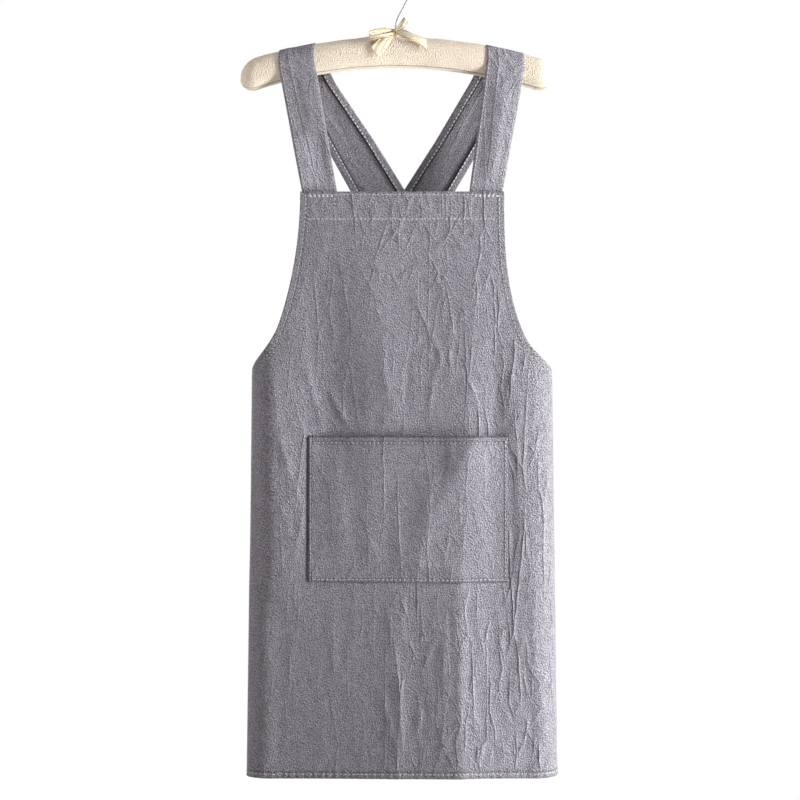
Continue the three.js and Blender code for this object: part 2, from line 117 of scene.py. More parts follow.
def addSurround():
    world = bpy.data.worlds.new("studio")
    world.use_nodes = True
    tree = world.node_tree
    tree.nodes.clear()
    warm, white = studio["warm"] + (1.0,), (1.0, 1.0, 1.0, 1.0)
    lit = addNode(tree, "ShaderNodeBackground", {"Color": warm, "Strength": studio["surround"]})
    seen = addNode(tree, "ShaderNodeBackground", {"Color": white})
    path = addNode(tree, "ShaderNodeLightPath")
    either = addNode(tree, "ShaderNodeMixShader",
                     {0: path.outputs["Is Camera Ray"], 1: lit.outputs[0], 2: seen.outputs[0]})
    addNode(tree, "ShaderNodeOutputWorld", {"Surface": either.outputs[0]})
    bpy.context.scene.world = world
    bpy.context.scene.view_settings.view_transform = "Standard"


# shader nodes: an input is linked if it is a socket, and set otherwise
def addNode(tree, kind, inputs=None, **settings):
    node = tree.nodes.new(kind)
    for key, value in settings.items():
        setattr(node, key, value)
    for key, value in (inputs or {}).items():
        if isinstance(value, bpy.types.NodeSocket):
            tree.links.new(value, node.inputs[key])
        else:
            node.inputs[key].default_value = value
    return node


def combine(tree, operation, first, second):
    return addNode(tree, "ShaderNodeMath", {0: first, 1: second}, operation=operation).outputs[0]


def times(tree, first, second):
    return combine(tree, "MULTIPLY", first, second)


def readAttribute(tree, name):
    return addNode(tree, "ShaderNodeAttribute", attribute_name=name).outputs["Fac"]


def readFlat(tree):
    return addNode(tree, "ShaderNodeUVMap", uv_map="cloth").outputs[0]


def readPlace(tree):
    return addNode(tree, "ShaderNodeTexCoord").outputs["Object"]


# an input with no value is a vector
def newGroup(name, inputs, outputs):
    tree = bpy.data.node_groups.new(name, "ShaderNodeTree")
    for key, value in inputs.items():
        kind = "NodeSocketVector" if value is None else "NodeSocketFloat"
        socket = tree.interface.new_socket(key, in_out="INPUT", socket_type=kind)
        if value is not None:
            socket.default_value = value
    for key in outputs:
        tree.interface.new_socket(key, in_out="OUTPUT", socket_type="NodeSocketFloat")
    return tree, tree.nodes.new("NodeGroupInput").outputs, tree.nodes.new("NodeGroupOutput").inputs


weaveWave = {"Distortion": 0.6, "Detail": 1.0, "Detail Scale": 0.4}


# threads: two crossed waves, the higher one on top; Pitch is in threads per metre
def makeWeaveGroup():
    tree, given, put = newGroup("weave", {"Vector": None, "Pitch": 1700.0}, ["Height"])
    wavesPerUnit = 20.0 / (2 * math.pi)  # the wave texture's own count at scale 1
    scale = combine(tree, "DIVIDE", given["Pitch"], wavesPerUnit)
    inputs = {"Vector": given["Vector"], "Scale": scale, **weaveWave}
    threads = [addNode(tree, "ShaderNodeTexWave", inputs, bands_direction=way).outputs["Fac"]
               for way in "XY"]
    tree.links.new(combine(tree, "MAXIMUM", *threads), put["Height"])
    return tree


# a place on the flat cloth, turned, then drawn out along one direction
def drawnPlace(tree, given):
    drawn = addNode(tree, "ShaderNodeCombineXYZ", {"X": 1.0, "Y": given["Stretch"], "Z": 1.0})
    turned = addNode(tree, "ShaderNodeVectorRotate", {"Vector": given["Vector"], "Angle": given["Turn"]},
                     rotation_type="Z_AXIS")
    factors = {0: turned.outputs[0], 1: drawn.outputs[0]}
    return addNode(tree, "ShaderNodeVectorMath", factors, operation="MULTIPLY").outputs[0]


def addCloud(tree, place, size, detail):
    return addNode(tree, "ShaderNodeTexNoise", {"Vector": place, "Scale": size, "Detail": detail})


slubCloud = {"fineDetail": 1.5, "largeSize": 0.16, "largeDetail": 2.0, "fineShare": 0.85}


# uneven yarn: cloudy noise at two sizes; Height is the fine one alone, Tone a mix of both
def makeSlubGroup():
    tree, given, put = newGroup("slub", {"Vector": None, "Size": 300.0, "Stretch": 0.5, "Turn": 0.0},
                                ["Height", "Tone"])
    place = drawnPlace(tree, given)
    largeSize = times(tree, given["Size"], slubCloud["largeSize"])
    fine = addCloud(tree, place, given["Size"], slubCloud["fineDetail"]).outputs["Fac"]
    large = addCloud(tree, place, largeSize, slubCloud["largeDetail"]).outputs["Fac"]
    mixed = combine(tree, "ADD", times(tree, fine, slubCloud["fineShare"]),
                    times(tree, large, 1.0 - slubCloud["fineShare"]))
    tree.links.new(fine, put["Height"])
    tree.links.new(mixed, put["Tone"])
    return tree


creaseShape = {"waver": 0.0035, "waverSize": 50.0, "waverDetail": 3.0, "cloudSize": 0.8, "cloudDetail": 1.0,
               "cloudFrom": 0.45, "cloudTo": 0.65}


# pressed creases: thin ridges along the borders of long cells, each falling away like a decaying curve,
# on wavering lines and broken up by a cloud
def makeCreaseGroup():
    tree, given, put = newGroup(
        "creases", {"Vector": None, "Cells": 30.0, "Stretch": 0.3, "Width": 0.05, "Turn": 0.0}, ["Height"])
    place = drawnPlace(tree, given)
    waver = addCloud(tree, given["Vector"], creaseShape["waverSize"], creaseShape["waverDetail"])
    shift = (creaseShape["waver"], creaseShape["waver"], 0.0)
    bent = addNode(tree, "ShaderNodeVectorMath", {0: waver.outputs["Color"], 1: shift, 2: place},
                   operation="MULTIPLY_ADD")
    cells = addNode(tree, "ShaderNodeTexVoronoi", {"Vector": bent.outputs[0], "Scale": given["Cells"]},
                    voronoi_dimensions="2D", feature="DISTANCE_TO_EDGE")
    off = combine(tree, "DIVIDE", cells.outputs["Distance"], given["Width"])
    ridge = combine(tree, "POWER", math.e, times(tree, off, -1.0))
    cloudSize = times(tree, given["Cells"], creaseShape["cloudSize"])
    cloud = addCloud(tree, place, cloudSize, creaseShape["cloudDetail"])
    mask = addNode(tree, "ShaderNodeMapRange",
                   {"Value": cloud.outputs["Fac"], "From Min": creaseShape["cloudFrom"],
                    "From Max": creaseShape["cloudTo"]}, interpolation_type="SMOOTHSTEP")
    tree.links.new(times(tree, ridge, mask.outputs[0]), put["Height"])
    return tree


# sewn line: a bell-shaped dip at Inset millimetres from the finished edge
def makeSeamGroup():
    tree, given, put = newGroup("seam", {"Distance": 50.0, "Inset": 8.0, "Width": 1.4}, ["Dip"])
    off = combine(tree, "SUBTRACT", given["Distance"], given["Inset"])
    off = combine(tree, "DIVIDE", off, given["Width"])
    square = times(tree, off, off)
    tree.links.new(combine(tree, "POWER", math.e, times(tree, square, -1.0)), put["Dip"])
    return tree


groups = {
    "weave": makeWeaveGroup(),
    "slub": makeSlubGroup(),
    "creases": makeCreaseGroup(),
    "seam": makeSeamGroup(),
}


def useGroup(tree, name, **inputs):
    return addNode(tree, "ShaderNodeGroup", inputs, node_tree=groups[name]).outputs


def newMaterial(name, surface):
    material = bpy.data.materials.new(name)
    material.use_nodes = True
    tree = material.node_tree
    shader = tree.nodes["Principled BSDF"]
    for key, value in surface.items():
        shader.inputs[key].default_value = value
    return material, tree, shader


# linear colour from a colour of 0 to 255, by the standard sRGB curve
def srgb(red, green, blue):
    part = np.array([red, green, blue]) / 255.0
    return tuple(np.where(part <= 0.04045, part / 12.92, ((part + 0.055) / 1.055) ** 2.4)) + (1.0,)


# colour of a tone: dark up to the first limit, light from the second
def addRamp(tree, tone, finish):
    ramp = addNode(tree, "ShaderNodeValToRGB", {"Fac": tone})
    low, high = ramp.color_ramp.elements
    low.position, high.position = finish["limits"]
    low.color, high.color = srgb(*finish["dark"]), srgb(*finish["light"])
    return ramp.outputs["Color"]


# the colour times 1 less a shade
def addShade(tree, colour, shade):
    bright = combine(tree, "SUBTRACT", 1.0, shade)
    return addNode(tree, "ShaderNodeVectorMath", {0: colour, "Scale": bright}, operation="SCALE").outputs[0]


# pairs of a pattern and its height in millimetres, added up, drive one bump node
def addBump(tree, shader, pairs):
    heights = [times(tree, pattern, height) for pattern, height in pairs]
    total = heights[0]
    for height in heights[1:]:
        total = combine(tree, "ADD", total, height)
    bump = addNode(tree, "ShaderNodeBump", {"Height": total, "Distance": mm})
    tree.links.new(bump.outputs[0], shader.inputs["Normal"])


washedCloth = {
    "dark": (93, 88, 95), "light": (171, 166, 174), "limits": (0.36, 0.64),
    "threads": 1500.0, "threadHeight": 0.012,
    "slub": {"Size": 900.0, "Stretch": 0.55, "Turn": 0.65}, "slubHeight": 3.3,
    "long": {"Cells": 50.0, "Stretch": 0.15, "Width": 0.06}, "longHeight": 3.6,
    "fine": {"Cells": 86.0, "Stretch": 0.26, "Width": 0.1}, "fineHeight": 2.2,
    "slant": {"Cells": 60.0, "Stretch": 0.3, "Width": 0.09}, "slantTurns": (-0.5, 0.42), "slantHeight": 2.6,
    "seamHeight": 0.45, "seamGrooveShade": 0.15, "hemShadow": 0.9,
    "surface": {"Roughness": 0.95, "Specular IOR Level": 0.18, "Sheen Weight": 0.12, "Sheen Roughness": 0.6},
}
# places of the sewn line and of the painted shadow line from the edge (the hem's inner side, or just inside
# the pocket's border), and how much seam and grain show
clothUses = {
    "washed_cloth": {"seamInset": 8.0, "seamShare": 0.6, "grain": 1.0, "hemInset": 4.4},
    "strap_cloth": {"seamInset": 8.5, "seamShare": 0.25, "grain": 0.6, "hemInset": 10.8},
}


def makeClothMaterial(name):
    use = clothUses[name]
    material, tree, shader = newMaterial(name, washedCloth["surface"])
    flat, edge = readFlat(tree), readAttribute(tree, "edgeDistance")
    weave = useGroup(tree, "weave", Vector=flat, Pitch=washedCloth["threads"])
    slub = useGroup(tree, "slub", Vector=flat, **washedCloth["slub"])
    long = useGroup(tree, "creases", Vector=flat, **washedCloth["long"])
    fine = useGroup(tree, "creases", Vector=flat, **washedCloth["fine"])
    slants = [useGroup(tree, "creases", Vector=flat, Turn=turn, **washedCloth["slant"])["Height"]
              for turn in washedCloth["slantTurns"]]
    seam = useGroup(tree, "seam", Distance=edge, Inset=use["seamInset"])
    pressed = combine(tree, "ADD", times(tree, long["Height"], washedCloth["longHeight"]),
                      times(tree, fine["Height"], washedCloth["fineHeight"]))
    slanted = times(tree, combine(tree, "ADD", *slants), washedCloth["slantHeight"])
    # painted shade: the tone is darkened along the sewn line, where shade falls in its groove
    seamGrooveShade = times(tree, seam["Dip"], washedCloth["seamGrooveShade"] * use["seamShare"])
    colour = addRamp(tree, combine(tree, "SUBTRACT", slub["Tone"], seamGrooveShade), washedCloth)
    # painted shade: shade darkens a whole stretch, and below 0 paints it lighter; hemShade paints a shadow
    # line along the inner side of a turned hem and just inside the pocket's border
    inner = useGroup(tree, "seam", Distance=edge, Inset=use["hemInset"], Width=washedCloth["hemShadow"])
    shade = combine(tree, "ADD", readAttribute(tree, "shade"),
                    times(tree, inner["Dip"], readAttribute(tree, "hemShade")))
    tree.links.new(addShade(tree, colour, shade), shader.inputs["Base Color"])
    addBump(tree, shader, [
        (weave["Height"], washedCloth["threadHeight"]),
        (slub["Height"], washedCloth["slubHeight"] * use["grain"]),
        (pressed, readAttribute(tree, "creased")),
        (slanted, readAttribute(tree, "slanted")),
        (seam["Dip"], -washedCloth["seamHeight"] * use["seamShare"]),
    ])
    return material


paddedCover = {
    "dark": (217, 200, 178), "light": (244, 229, 209), "limits": (0.2, 0.7), "threads": 1900.0,
    "threadHeight": 0.05, "slub": 620.0, "slubHeight": 1.2, "seamWidth": 1.2, "seamShade": 0.6,
    "surface": {"Roughness": 0.9, "Specular IOR Level": 0.2, "Sheen Weight": 0.15, "Sheen Roughness": 0.5},
}


def makeCoverMaterial():
    material, tree, shader = newMaterial("cream_cover", paddedCover["surface"])
    flat, edge = readFlat(tree), readAttribute(tree, "edgeDistance")
    weave = useGroup(tree, "weave", Vector=flat, Pitch=paddedCover["threads"])
    slub = useGroup(tree, "slub", Vector=flat, Size=paddedCover["slub"], Stretch=1.0)
    # painted shade: the cover is darkened in a line along the piping seam, standing in for its shaded
    # underside, and by the shade attribute where the key lamp lights the bar most
    seam = useGroup(tree, "seam", Distance=edge, Inset=0.0, Width=paddedCover["seamWidth"])
    seamShade = times(tree, seam["Dip"], paddedCover["seamShade"])
    shade = combine(tree, "ADD", readAttribute(tree, "shade"), seamShade)
    colour = addRamp(tree, slub["Tone"], paddedCover)
    tree.links.new(addShade(tree, colour, shade), shader.inputs["Base Color"])
    addBump(tree, shader, [
        (weave["Height"], paddedCover["threadHeight"]),
        (slub["Height"], paddedCover["slubHeight"]),
    ])
    return material


satinRibbon = {
    "dark": (158, 124, 78), "light": (248, 236, 208), "limits": (0.0, 0.45), "threads": 2600.0,
    "threadHeight": 0.02, "slub": {"Size": 500.0, "Stretch": 0.15}, "slubHeight": 0.06,
    "edgeShadow": 0.9, "edgeShadowTone": 0.5, "deepColourAndShadeTone": 0.3,
    "surface": {"Roughness": 0.42, "Specular IOR Level": 0.45, "Sheen Weight": 0.2, "Sheen Roughness": 0.3},
}


def makeRibbonMaterial():
    material, tree, shader = newMaterial("satin_ribbon", satinRibbon["surface"])
    flat, edge = readFlat(tree), readAttribute(tree, "edgeDistance")
    weave = useGroup(tree, "weave", Vector=flat, Pitch=satinRibbon["threads"])
    slub = useGroup(tree, "slub", Vector=flat, **satinRibbon["slub"])
    # painted shadow: the ribbon's tone is darkened along its edges
    edgeShadow = useGroup(tree, "seam", Distance=edge, Inset=0.0, Width=satinRibbon["edgeShadow"])
    tone = combine(tree, "SUBTRACT", slub["Tone"], times(tree, edgeShadow["Dip"], satinRibbon["edgeShadowTone"]))
    # the deep attribute darkens the tone: a deeper colour, painted shadow in the hollow by the knot, and
    # below 0 painted light on bands turned from the lamps
    tone = combine(tree, "SUBTRACT", tone, times(tree, readAttribute(tree, "deep"), satinRibbon["deepColourAndShadeTone"]))
    tree.links.new(addRamp(tree, tone, satinRibbon), shader.inputs["Base Color"])
    addBump(tree, shader, [
        (weave["Height"], satinRibbon["threadHeight"]),
        (slub["Height"], satinRibbon["slubHeight"]),
    ])
    return material


sewingThread = {
    "dark": (204, 200, 206), "light": (240, 238, 242), "limits": (0.0, 1.0),
    "slub": 900.0, "slubHeight": 0.08,
    "surface": {"Roughness": 0.7, "Specular IOR Level": 0.3},
}


def makeThreadMaterial():
    material, tree, shader = newMaterial("sewing_thread", sewingThread["surface"])
    slub = useGroup(tree, "slub", Vector=readPlace(tree), Size=sewingThread["slub"], Stretch=1.0)
    colour = addRamp(tree, slub["Tone"], sewingThread)
    tree.links.new(addShade(tree, colour, readAttribute(tree, "shade")), shader.inputs["Base Color"])
    addBump(tree, shader, [(slub["Height"], sewingThread["slubHeight"])])
    return material


hookWire = {
    "dark": (184, 186, 190), "light": (212, 214, 217), "limits": (0.0, 1.0),
    "slub": 600.0, "slubHeight": 0.03, "smoothest": 0.22, "roughest": 0.47, "surface": {"Metallic": 0.05},
}


def makeWireMaterial():
    material, tree, shader = newMaterial("hook_wire", hookWire["surface"])
    slub = useGroup(tree, "slub", Vector=readPlace(tree), Size=hookWire["slub"], Stretch=1.0)
    tree.links.new(addRamp(tree, slub["Tone"], hookWire), shader.inputs["Base Color"])
    worn = times(tree, slub["Tone"], hookWire["roughest"] - hookWire["smoothest"])
    tree.links.new(combine(tree, "ADD", worn, hookWire["smoothest"]), shader.inputs["Roughness"])
    addBump(tree, shader, [(slub["Height"], hookWire["slubHeight"])])
    return material


paleFloor = {
    "dark": (240, 239, 237), "light": (250, 249, 247), "limits": (0.0, 1.0), "slub": 2.0,
    "surface": {"Roughness": 0.8, "Emission Color": srgb(238, 237, 235), "Emission Strength": 0.45},
}


def makeFloorMaterial():
    material, tree, shader = newMaterial("pale_floor", paleFloor["surface"])
    slub = useGroup(tree, "slub", Vector=readPlace(tree), Size=paleFloor["slub"], Stretch=1.0)
    tree.links.new(addRamp(tree, slub["Tone"], paleFloor), shader.inputs["Base Color"])
    return material


materials = {
    "body": makeClothMaterial("washed_cloth"),
    "strap": makeClothMaterial("strap_cloth"),
    "cover": makeCoverMaterial(),
    "ribbon": makeRibbonMaterial(),
    "thread": makeThreadMaterial(),
    "wire": makeWireMaterial(),
    "floor": makeFloorMaterial(),
}
addCamera()
for name, lamp in lamps.items():
    addLamp(name, lamp)
addSurround()
print("camera, light and materials ready")


# meshes from arrays
def gridFaces(numbers):
    # one four-cornered face between neighbouring rows and columns of vertex numbers
    corners = [numbers[:-1, :-1], numbers[:-1, 1:], numbers[1:, 1:], numbers[1:, :-1]]
    return np.stack(corners, axis=-1).reshape(-1, 4)


def gridNumbers(rows, columns):
    return np.arange(rows * columns).reshape(rows, columns)


def closeRows(numbers):
    return np.concatenate([numbers, numbers[:, :1]], axis=1)


# triangles between the neighbours of a closed row and one point
def fanFaces(row, point, turned=False):
    after = np.roll(row, -1)
    first, second = (row, after) if turned else (after, row)
    return np.stack([first, second, np.full(len(row), point)], axis=-1)


def addMesh(name, points, faces, material):
    mesh = bpy.data.meshes.new(name)
    mesh.from_pydata((points * mm).tolist(), [], faces)
    mesh.materials.append(materials[material])
    obj = bpy.data.objects.new(name, mesh)
    bpy.context.collection.objects.link(obj)
    return obj


# flat is each vertex's place on the flat cloth; each further value becomes an attribute of the vertices
def addPiece(name, points, faces, material, slotName, flat=None, **values):
    piece = addMesh(name, points, faces if isinstance(faces, list) else faces.tolist(), material)
    mesh = piece.data
    mesh.shade_smooth()
    if flat is not None:
        corner = np.empty(len(mesh.loops), dtype=np.int32)
        mesh.loops.foreach_get("vertex_index", corner)
        places = (flat[corner] * mm).astype(np.float32).ravel()
        mesh.uv_layers.new(name="cloth").uv.foreach_set("vector", places)
    for key, value in values.items():
        spread = np.broadcast_to(value, len(points)).astype(np.float32)
        mesh.attributes.new(key, "FLOAT", "POINT").data.foreach_set("value", spread)
    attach(piece, "root")
    return piece


def giveWall(piece, thickness):
    wall = piece.modifiers.new("wall", "SOLIDIFY")
    wall.thickness = thickness * mm
    wall.offset = 0.0


# rows of points: unit vectors, lengths from the start, values at given lengths, and a softened copy
def unit(rows):
    return rows / np.linalg.norm(rows, axis=1, keepdims=True)


def reachAlong(rows):
    return np.concatenate([[0.0], np.cumsum(np.linalg.norm(np.diff(rows, axis=0), axis=1))])


def rowsAt(places, reach, rows):
    return np.stack([np.interp(places, reach, rows[:, k]) for k in range(rows.shape[1])], axis=-1)


def soften(rows, rounds):
    rows = rows.copy()
    for _ in range(rounds):
        rows[1:-1] = 0.25 * rows[:-2] + 0.5 * rows[1:-1] + 0.25 * rows[2:]
    return rows


def mix(start, end, share):
    return start + (end - start) * share


# 0 before start, 1 after end, and a smooth step between them
def smooth(value, start, end):
    share = np.clip((value - start) / (end - start), 0.0, 1.0)
    return share * share * (3.0 - 2.0 * share)


# profile of a fold at a distance off its line: a bell, or with a crest radius a pressed ridge that falls
# away like a decaying curve, each flank with its own width
def foldProfile(off, left, right, crest):
    flank = np.where(off < 0, left, right)
    if crest == 0:
        return np.exp(-(off / flank) ** 2)
    return np.exp(-(np.hypot(off, crest) - crest) / flank)


# sum of long folds, each a profile off a smooth line through the row's places, rising and dying away over
# a fade length at its ends
def foldRise(across, along, rows):
    rise = np.zeros_like(along)
    for reach, places, height, left, right, crest, fade in rows:
        length = reach[-1] - reach[0]
        share = np.clip((along - reach[0]) / length, 0.0, 1.0)
        line = np.polyfit((np.array(reach) - reach[0]) / length, places, len(reach) - 1)
        swell = smooth(along, reach[0], reach[0] + fade) * (1.0 - smooth(along, reach[-1] - fade, reach[-1]))
        rise += height * swell * foldProfile(across - np.polyval(line, share), left, right, crest)
    return rise


# pairs are a least value and what a draw between 0 and 1 adds to it at most
crinkle = {"length": (0.45, 1.0), "height": (0.3, 1.0), "steep": (2.2, 2.0), "gentle": (3.5, 5.0),
           "bow": 10.0, "crest": 1.3, "reach": 1.6}


def pick(spread, draw):
    return spread[0] + spread[1] * draw


# short pressed creases strewn over patches: each is a ridge along a leaning, bowed line, steep on one side,
# that dies away towards its ends with the fourth power of the distance
def crinkleRise(across, along, patches, seed):
    draw = np.random.default_rng(seed)
    rise = np.zeros_like(along)
    for left, right, top, foot, count, height, length, lean in patches:
        places = draw.uniform((left, top), (right, foot), (count, 2))
        shapes = draw.uniform(0.0, 1.0, (count, 6))
        for (place, start), (tall, long, tilt, bow, wide, side) in zip(places, shapes):
            reach = length * pick(crinkle["length"], long)
            share = (along - start) / reach
            near = np.abs(share) < crinkle["reach"]
            part = share[near]
            line = place + (tilt - 0.5) * lean * reach * part + (bow - 0.5) * crinkle["bow"] * part ** 2
            flanks = pick(crinkle["gentle"], wide), pick(crinkle["steep"], wide)
            if side < 0.5:
                ridge = foldProfile(across[near] - line, *flanks, crinkle["crest"])
            else:
                ridge = foldProfile(across[near] - line, *flanks[::-1], crinkle["crest"])
            rise[near] += height * pick(crinkle["height"], tall) * ridge * np.exp(-part ** 4)
    return rise


# stitches: small rounded grains set end to end along a path, a shape of few faces repeated by arrays; each
# is a row of rings between two points, with stations and ring sizes as shares of the grain's own
stitch = {"pitch": 5.2, "length": 3.1, "width": 1.1, "height": 0.6, "sides": 6,
          "stations": (-0.42, 0.0, 0.42), "sizes": (0.75, 1.0, 0.75), "lift": 0.62}


def stitchArrays(path, outward):
    reach = reachAlong(path)
    places = np.arange(stitch["pitch"], reach[-1] - stitch["pitch"] / 2, stitch["pitch"])
    centre = rowsAt(places, reach, path)
    ahead = unit(rowsAt(places + 1.0, reach, path) - centre)
    side = unit(np.cross(ahead, rowsAt(places, reach, outward)))
    up = np.cross(side, ahead)
    turn = 2 * np.pi * np.arange(stitch["sides"]) / stitch["sides"]
    sizes, stations = np.array(stitch["sizes"]), np.array(stitch["stations"])
    along = np.append(np.repeat(stations, stitch["sides"]), [-0.5, 0.5]) * stitch["length"]
    across = np.append(np.outer(sizes, np.cos(turn)), [0.0, 0.0]) * stitch["width"] / 2
    lift = np.append(np.outer(sizes, np.sin(turn)), [0.0, 0.0]) * stitch["height"] / 2
    points = (centre[:, None] + ahead[:, None] * along[:, None] + side[:, None] * across[:, None]
              + up[:, None] * lift[:, None])
    rings = gridNumbers(len(stations), stitch["sides"])
    caps = [fanFaces(rings[0], rings.size), fanFaces(rings[-1], rings.size + 1, turned=True)]
    first = len(along) * np.arange(len(places))[:, None, None]
    fours = (gridFaces(closeRows(rings))[None] + first).reshape(-1, 4)
    threes = (np.concatenate(caps)[None] + first).reshape(-1, 3)
    return points.reshape(-1, 3), fours, threes


# each line is a path, its outward directions and a shade
def addStitches(name, lines):
    points, faces, shades, count = [], [], [], 0
    for path, outward, shade in lines:
        grains, fours, threes = stitchArrays(path, outward)
        points.append(grains)
        shades.append(np.full(len(grains), shade))
        faces += (fours + count).tolist() + (threes + count).tolist()
        count += len(grains)
    return addPiece(name, np.concatenate(points), faces, "thread", "apron_cloth",
                    shade=np.concatenate(shades))


# body of the apron
body = {
    "middle": 7.6, "bibTop": 266.0, "armholeFoot": 485.0, "hem": 977.0, "hemBelow": 1.5, "hemRise": 0.2,
    "bibHalf": 124.0, "sideHalf": 183.0, "hemHalf": 189.5, "turnReach": 30.0, "topDepth": 17.5,
    "hemDepth": 21.0, "armholeDip": 8.0, "wingTop": 397.0, "wingInner": 16.0, "wingOuter": 84.0,
    "wingCurve": 2.2, "thickness": 1.1,
    "leftArmhole": (48.0, 2.0, 12.0), "rightArmhole": (47.0, 3.0, 14.0),  # spread, power, corner
    "bareFrom": (268.0, 312.0), "besidePocket": 9.0, "seed": 7,
    "frontCells": 212, "dipCells": 8, "wingCells": 24, "lowCells": 122, "bibCells": 55, "wingRows": 22,
}
# small waves along the sewn hem, which die away upwards
hemPucker = {"rise": 0.5, "waves": 0.7, "wander": 0.13, "reach": 7.0}
# how much the cloth's own pressed creases show, and where
bodyWear = {
    "plain": 0.45, "right": (40.0, 110.0), "top": (300.0, 330.0), "skirt": (720.0, 780.0),
    "skirtSide": (-60.0, 10.0), "back": 0.9, "backFrom": 200.0, "slantMiddle": 15.0, "slantReach": 75.0,
    "slantDrops": (350.0, 480.0), "slantPlain": 0.3, "slantSkirt": 0.15, "stiffEdge": (5.0, 20.0),
    "topEdge": 60.0,
}
# the front leans out towards a crest right of its middle, more and more down to the hem
bodyLean = {
    "drops": (266, 540, 780, 977), "crest": (77, 77, 70, 70), "round": (0.3, 0.3, 0.07, 0.04),
    "left": -150.0, "right": 150.0, "rightShare": 0.4, "from": 415.0, "rise": 25.0, "power": 1.15,
}
# drops, places round the girth, height, left flank, right flank, crest radius, fade length
bodyFolds = [
    ((420, 600, 800), (-163, -154, -146), 6.5, 20, 30, 0, 100),
    ((330, 430, 540, 660), (-108, -98, -90, -104), -4.0, 26, 40, 0, 90),
    ((285, 420, 575), (-42, -34, -14), 3.0, 40, 30, 0, 80),
    ((330, 440, 545, 650), (78, 84, 78, 76), 4.0, 40, 26, 5, 70),
    ((690, 780, 1300), (70, 70, 70), 5.5, 110, 14, 2, 60),
    ((420, 600, 780), (112, 112, 112), -3.0, 14, 18, 0, 90),
    ((440, 640, 960), (124, 146, 146), 2.8, 18, 22, 0, 90),
    ((720, 850, 1300), (-10, -8, -10), 2.0, 30, 8, 3, 80),
    ((470, 1300), (-290, -300), 6.0, 34, 30, 0, 240),
    ((470, 1300), (280, 292), 7.0, 30, 36, 0, 240),
]
bodyCreases = [
    ((284, 334, 386), (-86, -96, -115), 0.6, 4.8, 3.6, 1, 30),
    ((315, 333, 351), (58, 42, 22), 0.6, 3, 3, 1, 12),
    ((320, 340, 363), (6, 12, 18), -0.6, 2.6, 2.2, 1, 12),
    ((339, 360, 377), (13, 2, -6), -0.6, 2.6, 2.2, 1, 12),
    ((358, 386), (18, 37), -0.6, 2.6, 2.2, 1, 10),
    ((320, 363), (-51, -20), 0.6, 2.6, 2.2, 1, 12),
    ((367, 400, 429), (48, 50, 48), 0.8, 3.6, 2.4, 1, 20),
    ((405, 458, 505), (63, 58, 64), 1.1, 3.6, 2.4, 1, 25),
    ((415, 472, 515), (27, 48, 63), 0.8, 2.6, 2.2, 1, 25),
    ((438, 486, 552), (56, 41, 30), 1.2, 4.8, 2.4, 1, 30),
    ((434, 496, 552), (-22, -20, -5), 1.2, 7.2, 3.6, 1, 30),
    ((434, 496, 552), (13, 6, -1), -0.9, 3, 3.6, 1, 30),
    ((477, 552, 614), (-154, -149, -134), 1.2, 4.2, 3, 1, 30),
    ((562, 610, 652), (-151, -136, -119), 1.5, 3, 2.8, 1, 15),
    ((640, 680, 719), (-119, -124, -133), 1.2, 4, 3, 1, 20),
    ((640, 700), (-152, -127), 1.2, 3, 2.6, 1, 15),
    ((436, 487, 562), (-127, -115, -95), 1.5, 3, 2.6, 1, 20),
    ((502, 524, 562), (-90, -81, -56), 1.4, 3, 2.6, 1, 12),
    ((458, 515, 552), (105, 107, 103), 1.0, 3.6, 2.4, 1, 20),
    ((448, 496), (122, 117), 0.8, 3, 2.4, 1, 15),
    ((443, 486, 515), (141, 132, 134), 0.9, 3, 2.4, 1, 20),
    ((515, 557), (140, 124), -0.9, 2.6, 3, 1, 12),
    ((557, 624, 723), (134, 132, 135), -0.8, 2.6, 3, 1, 30),
    ((534, 581, 610), (167, 153, 151), -0.8, 3, 3, 1, 20),
    ((610, 657, 704), (160, 170, 167), 1.0, 3.6, 2.4, 1, 25),
    ((747, 809, 866, 951), (165, 158, 165, 167), 1.1, 3.6, 2.4, 1, 30),
    ((837, 885), (139, 134), 0.8, 3, 2.4, 1, 15),
    ((742, 780, 833), (6, 1, 8), 1.2, 4.2, 2.4, 1, 20),
    ((842, 913, 956), (-4, -1, 2), 1.0, 4.2, 2.4, 1, 20),
    ((880, 932), (22, 17), 0.9, 3, 2.4, 1, 15),
    ((795, 861, 961), (49, 51, 46), 0.8, 3.6, 2.4, 1, 30),
    ((747, 780, 828), (63, 56, 65), -0.7, 2.6, 2.4, 1, 15),
    ((880, 932, 961), (84, 94, 98), 1.1, 3.6, 2.4, 1, 20),
    ((747, 809, 866), (84, 94, 101), 0.8, 3, 2.4, 1, 25),
    ((752, 785, 842), (105, 117, 108), 1.0, 3.6, 2.4, 1, 20),
    ((766, 837), (132, 135), 0.8, 3, 2.4, 1, 20),
    ((904, 961), (117, 121), 0.8, 3, 2.4, 1, 15),
    ((880, 961), (155, 158), -0.7, 3, 3, 1, 20),
    ((766, 809), (-20, -13), 0.6, 3, 2.4, 1, 12),
    ((856, 927), (-30, -11), 0.7, 3.6, 3, 1, 20),
    ((757, 818), (-56, -58), 0.5, 3.6, 3, 1, 15),
    ((752, 866), (-84, -82), 0.5, 3.6, 3, 1, 25),
    ((795, 890), (-134, -139), 0.6, 4.2, 3, 1, 25),
    ((742, 795), (-153, -129), 0.5, 3, 3, 1, 15),
]
# left, right, top, foot, count, height, length, lean
bodyCrinkles = [
    (84, 186, 420, 965, 150, 0.3, 30, 0.5),
    (-10, 130, 745, 965, 60, 0.28, 30, 0.4),
    (-60, 110, 290, 560, 80, 0.2, 24, 0.8),
    (-180, -40, 330, 965, 80, 0.22, 30, 0.6),
    (225, 365, 420, 965, 70, 0.5, 34, 0.45),
    (-365, -225, 420, 965, 70, 0.5, 34, 0.45),
]


